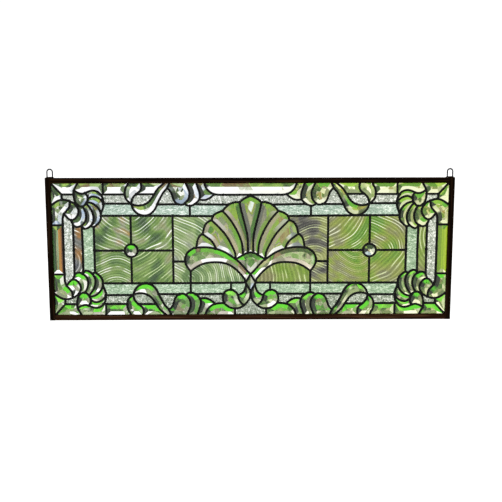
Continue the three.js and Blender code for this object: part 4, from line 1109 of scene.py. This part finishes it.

# %% [markdown]
# The bars are zinc or brass channel with a brown-black patina. Their faces are smooth and a little
# streaky along the bar.

# %% Bars with brown patina
def patina_bar(name, along, tone_stops):
    material, tree, shader, place = start_material(name)
    stretch = (0.04, 1, 1) if along == "x" else (1, 1, 0.04)
    drawn = add(tree, "Mapping", {"Vector": place, "Scale": stretch})
    streaks = add(tree, "TexNoise", {"Vector": drawn.outputs[0], "Scale": 1000 / 3, "Detail": 3.0})
    tone = add(tree, "ValToRGB", {"Fac": streaks.outputs["Fac"]}, stops=tone_stops)
    tree.links.new(tone.outputs["Color"], shader.inputs["Base Color"])
    shader.inputs["Metallic"].default_value = 1.0
    rough = add(tree, "MapRange", {"Value": streaks.outputs["Fac"], "To Min": 0.3, "To Max": 0.5})
    tree.links.new(rough.outputs[0], shader.inputs["Roughness"])
    bump = add(tree, "Bump", {"Height": streaks.outputs["Fac"], "Strength": 0.15, "Distance": 0.0004})
    tree.links.new(bump.outputs[0], shader.inputs["Normal"])
    return material


# The foot bar is painted lighter and browner than the head and side bars, which are near black.
foot_bar = patina_bar("zinc_channel_with_patina_lighter_at_the_foot", "x", [
    (0.35, "#1a0e07"), (0.55, "#2c1a0f"), (0.70, "#46301f")])
head_bar = patina_bar("zinc_channel_with_patina_dark_at_the_head", "x", [
    (0.35, "#0a0503"), (0.55, "#140c07"), (0.70, "#28190d")])
tall_bar = patina_bar("zinc_channel_with_patina_dark_at_the_sides", "z", [
    (0.35, "#080503"), (0.55, "#130b06"), (0.70, "#26170d")])
for name, finish in (("frame_bottom_bar", foot_bar), ("frame_top_bar", head_bar),
                     ("frame_left_bar", tall_bar), ("frame_right_bar", tall_bar)):
    bar = frame["nodes"][name]
    bar.data.materials.clear()
    bar.data.materials.append(finish)
print("bars finished")

# %% [markdown]
# Each loop is a short piece of tinned copper wire, bent to an arch and soldered to the corner of the frame.
# The arch is a line again, swept with a round section, and its feet stand in a low mound of solder.

# %% Hanging loops
WIRE = 3.0
LOOP_WIDTH = 15.0
LOOP_HEIGHT = 20.4
LOOP_AT = 446.0
PANEL_TOP = 162.0
ARCH_STEPS = 24
WIRE_SIDES = 16
FOOT = 0.8


def loop_line():
    turn = (LOOP_WIDTH - WIRE) / 2
    mitred = WIRE / 2 / math.cos(math.pi / ARCH_STEPS / 2)
    crown = LOOP_HEIGHT - mitred - turn
    arch = [Vector((turn * math.cos(a), crown + turn * math.sin(a)))
            for a in [math.pi * (1 - i / ARCH_STEPS) for i in range(ARCH_STEPS + 1)]]
    return [Vector((-turn, FOOT))] + arch + [Vector((turn, FOOT))]


def tinned_wire():
    material, tree, shader, place = start_material("tinned_copper_wire")
    dull = add(tree, "TexNoise", {"Vector": place, "Scale": 1000 / 4, "Detail": 3.0})
    tone = add(tree, "ValToRGB", {"Fac": dull.outputs["Fac"]}, stops=[
        (0.35, "#06080a"), (0.55, "#12171b"), (0.70, "#2c3338")])
    tree.links.new(tone.outputs["Color"], shader.inputs["Base Color"])
    shader.inputs["Metallic"].default_value = 1.0
    shader.inputs["Roughness"].default_value = 0.45
    bump = add(tree, "Bump", {"Height": dull.outputs["Fac"], "Strength": 0.3, "Distance": 0.0003})
    tree.links.new(bump.outputs[0], shader.inputs["Normal"])
    return material


wire_turns = [2 * math.pi * i / WIRE_SIDES for i in range(WIRE_SIDES)]
round_section = profile("wire_section", [
    (WIRE / 2 * math.cos(turn), WIRE / 2 * math.sin(turn)) for turn in wire_turns])
wire_metal = tinned_wire()
solder_metal = head_bar
for side, side_name in ((-1, "left"), (1, "right")):
    wire = sweep("wire", [p + Vector((side * LOOP_AT, PANEL_TOP)) for p in loop_line()], round_section)
    to_meshes([wire])
    wire.data.materials.append(wire_metal)
    bpy.ops.mesh.primitive_uv_sphere_add(segments=24, ring_count=12, radius=1,
                                         location=(side * LOOP_AT * MM, PANEL_TOP * MM, 0))
    mound = bpy.context.object
    mound.scale = (10 * MM, 2.5 * MM, 3 * MM)
    bpy.ops.object.transform_apply(location=True, rotation=True, scale=True)
    mound.data.materials.append(solder_metal)
    loop = join([wire, mound], f"wire_loop_{side_name}")
    pick([loop])
    bpy.ops.object.shade_smooth_by_angle(angle=math.radians(40))
    stand_up(loop)
    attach(loop, "root")
    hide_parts(f"hanging_loop_{side_name}")
print("loops made")

# %% [markdown]
# The sections and the cartoon's curves were tools, and tools don't hang in the window. They are cleared
# away.

# %% Clear the bench
for tool in [o for o in bpy.data.objects if o.type == "CURVE"]:
    bpy.data.objects.remove(tool)
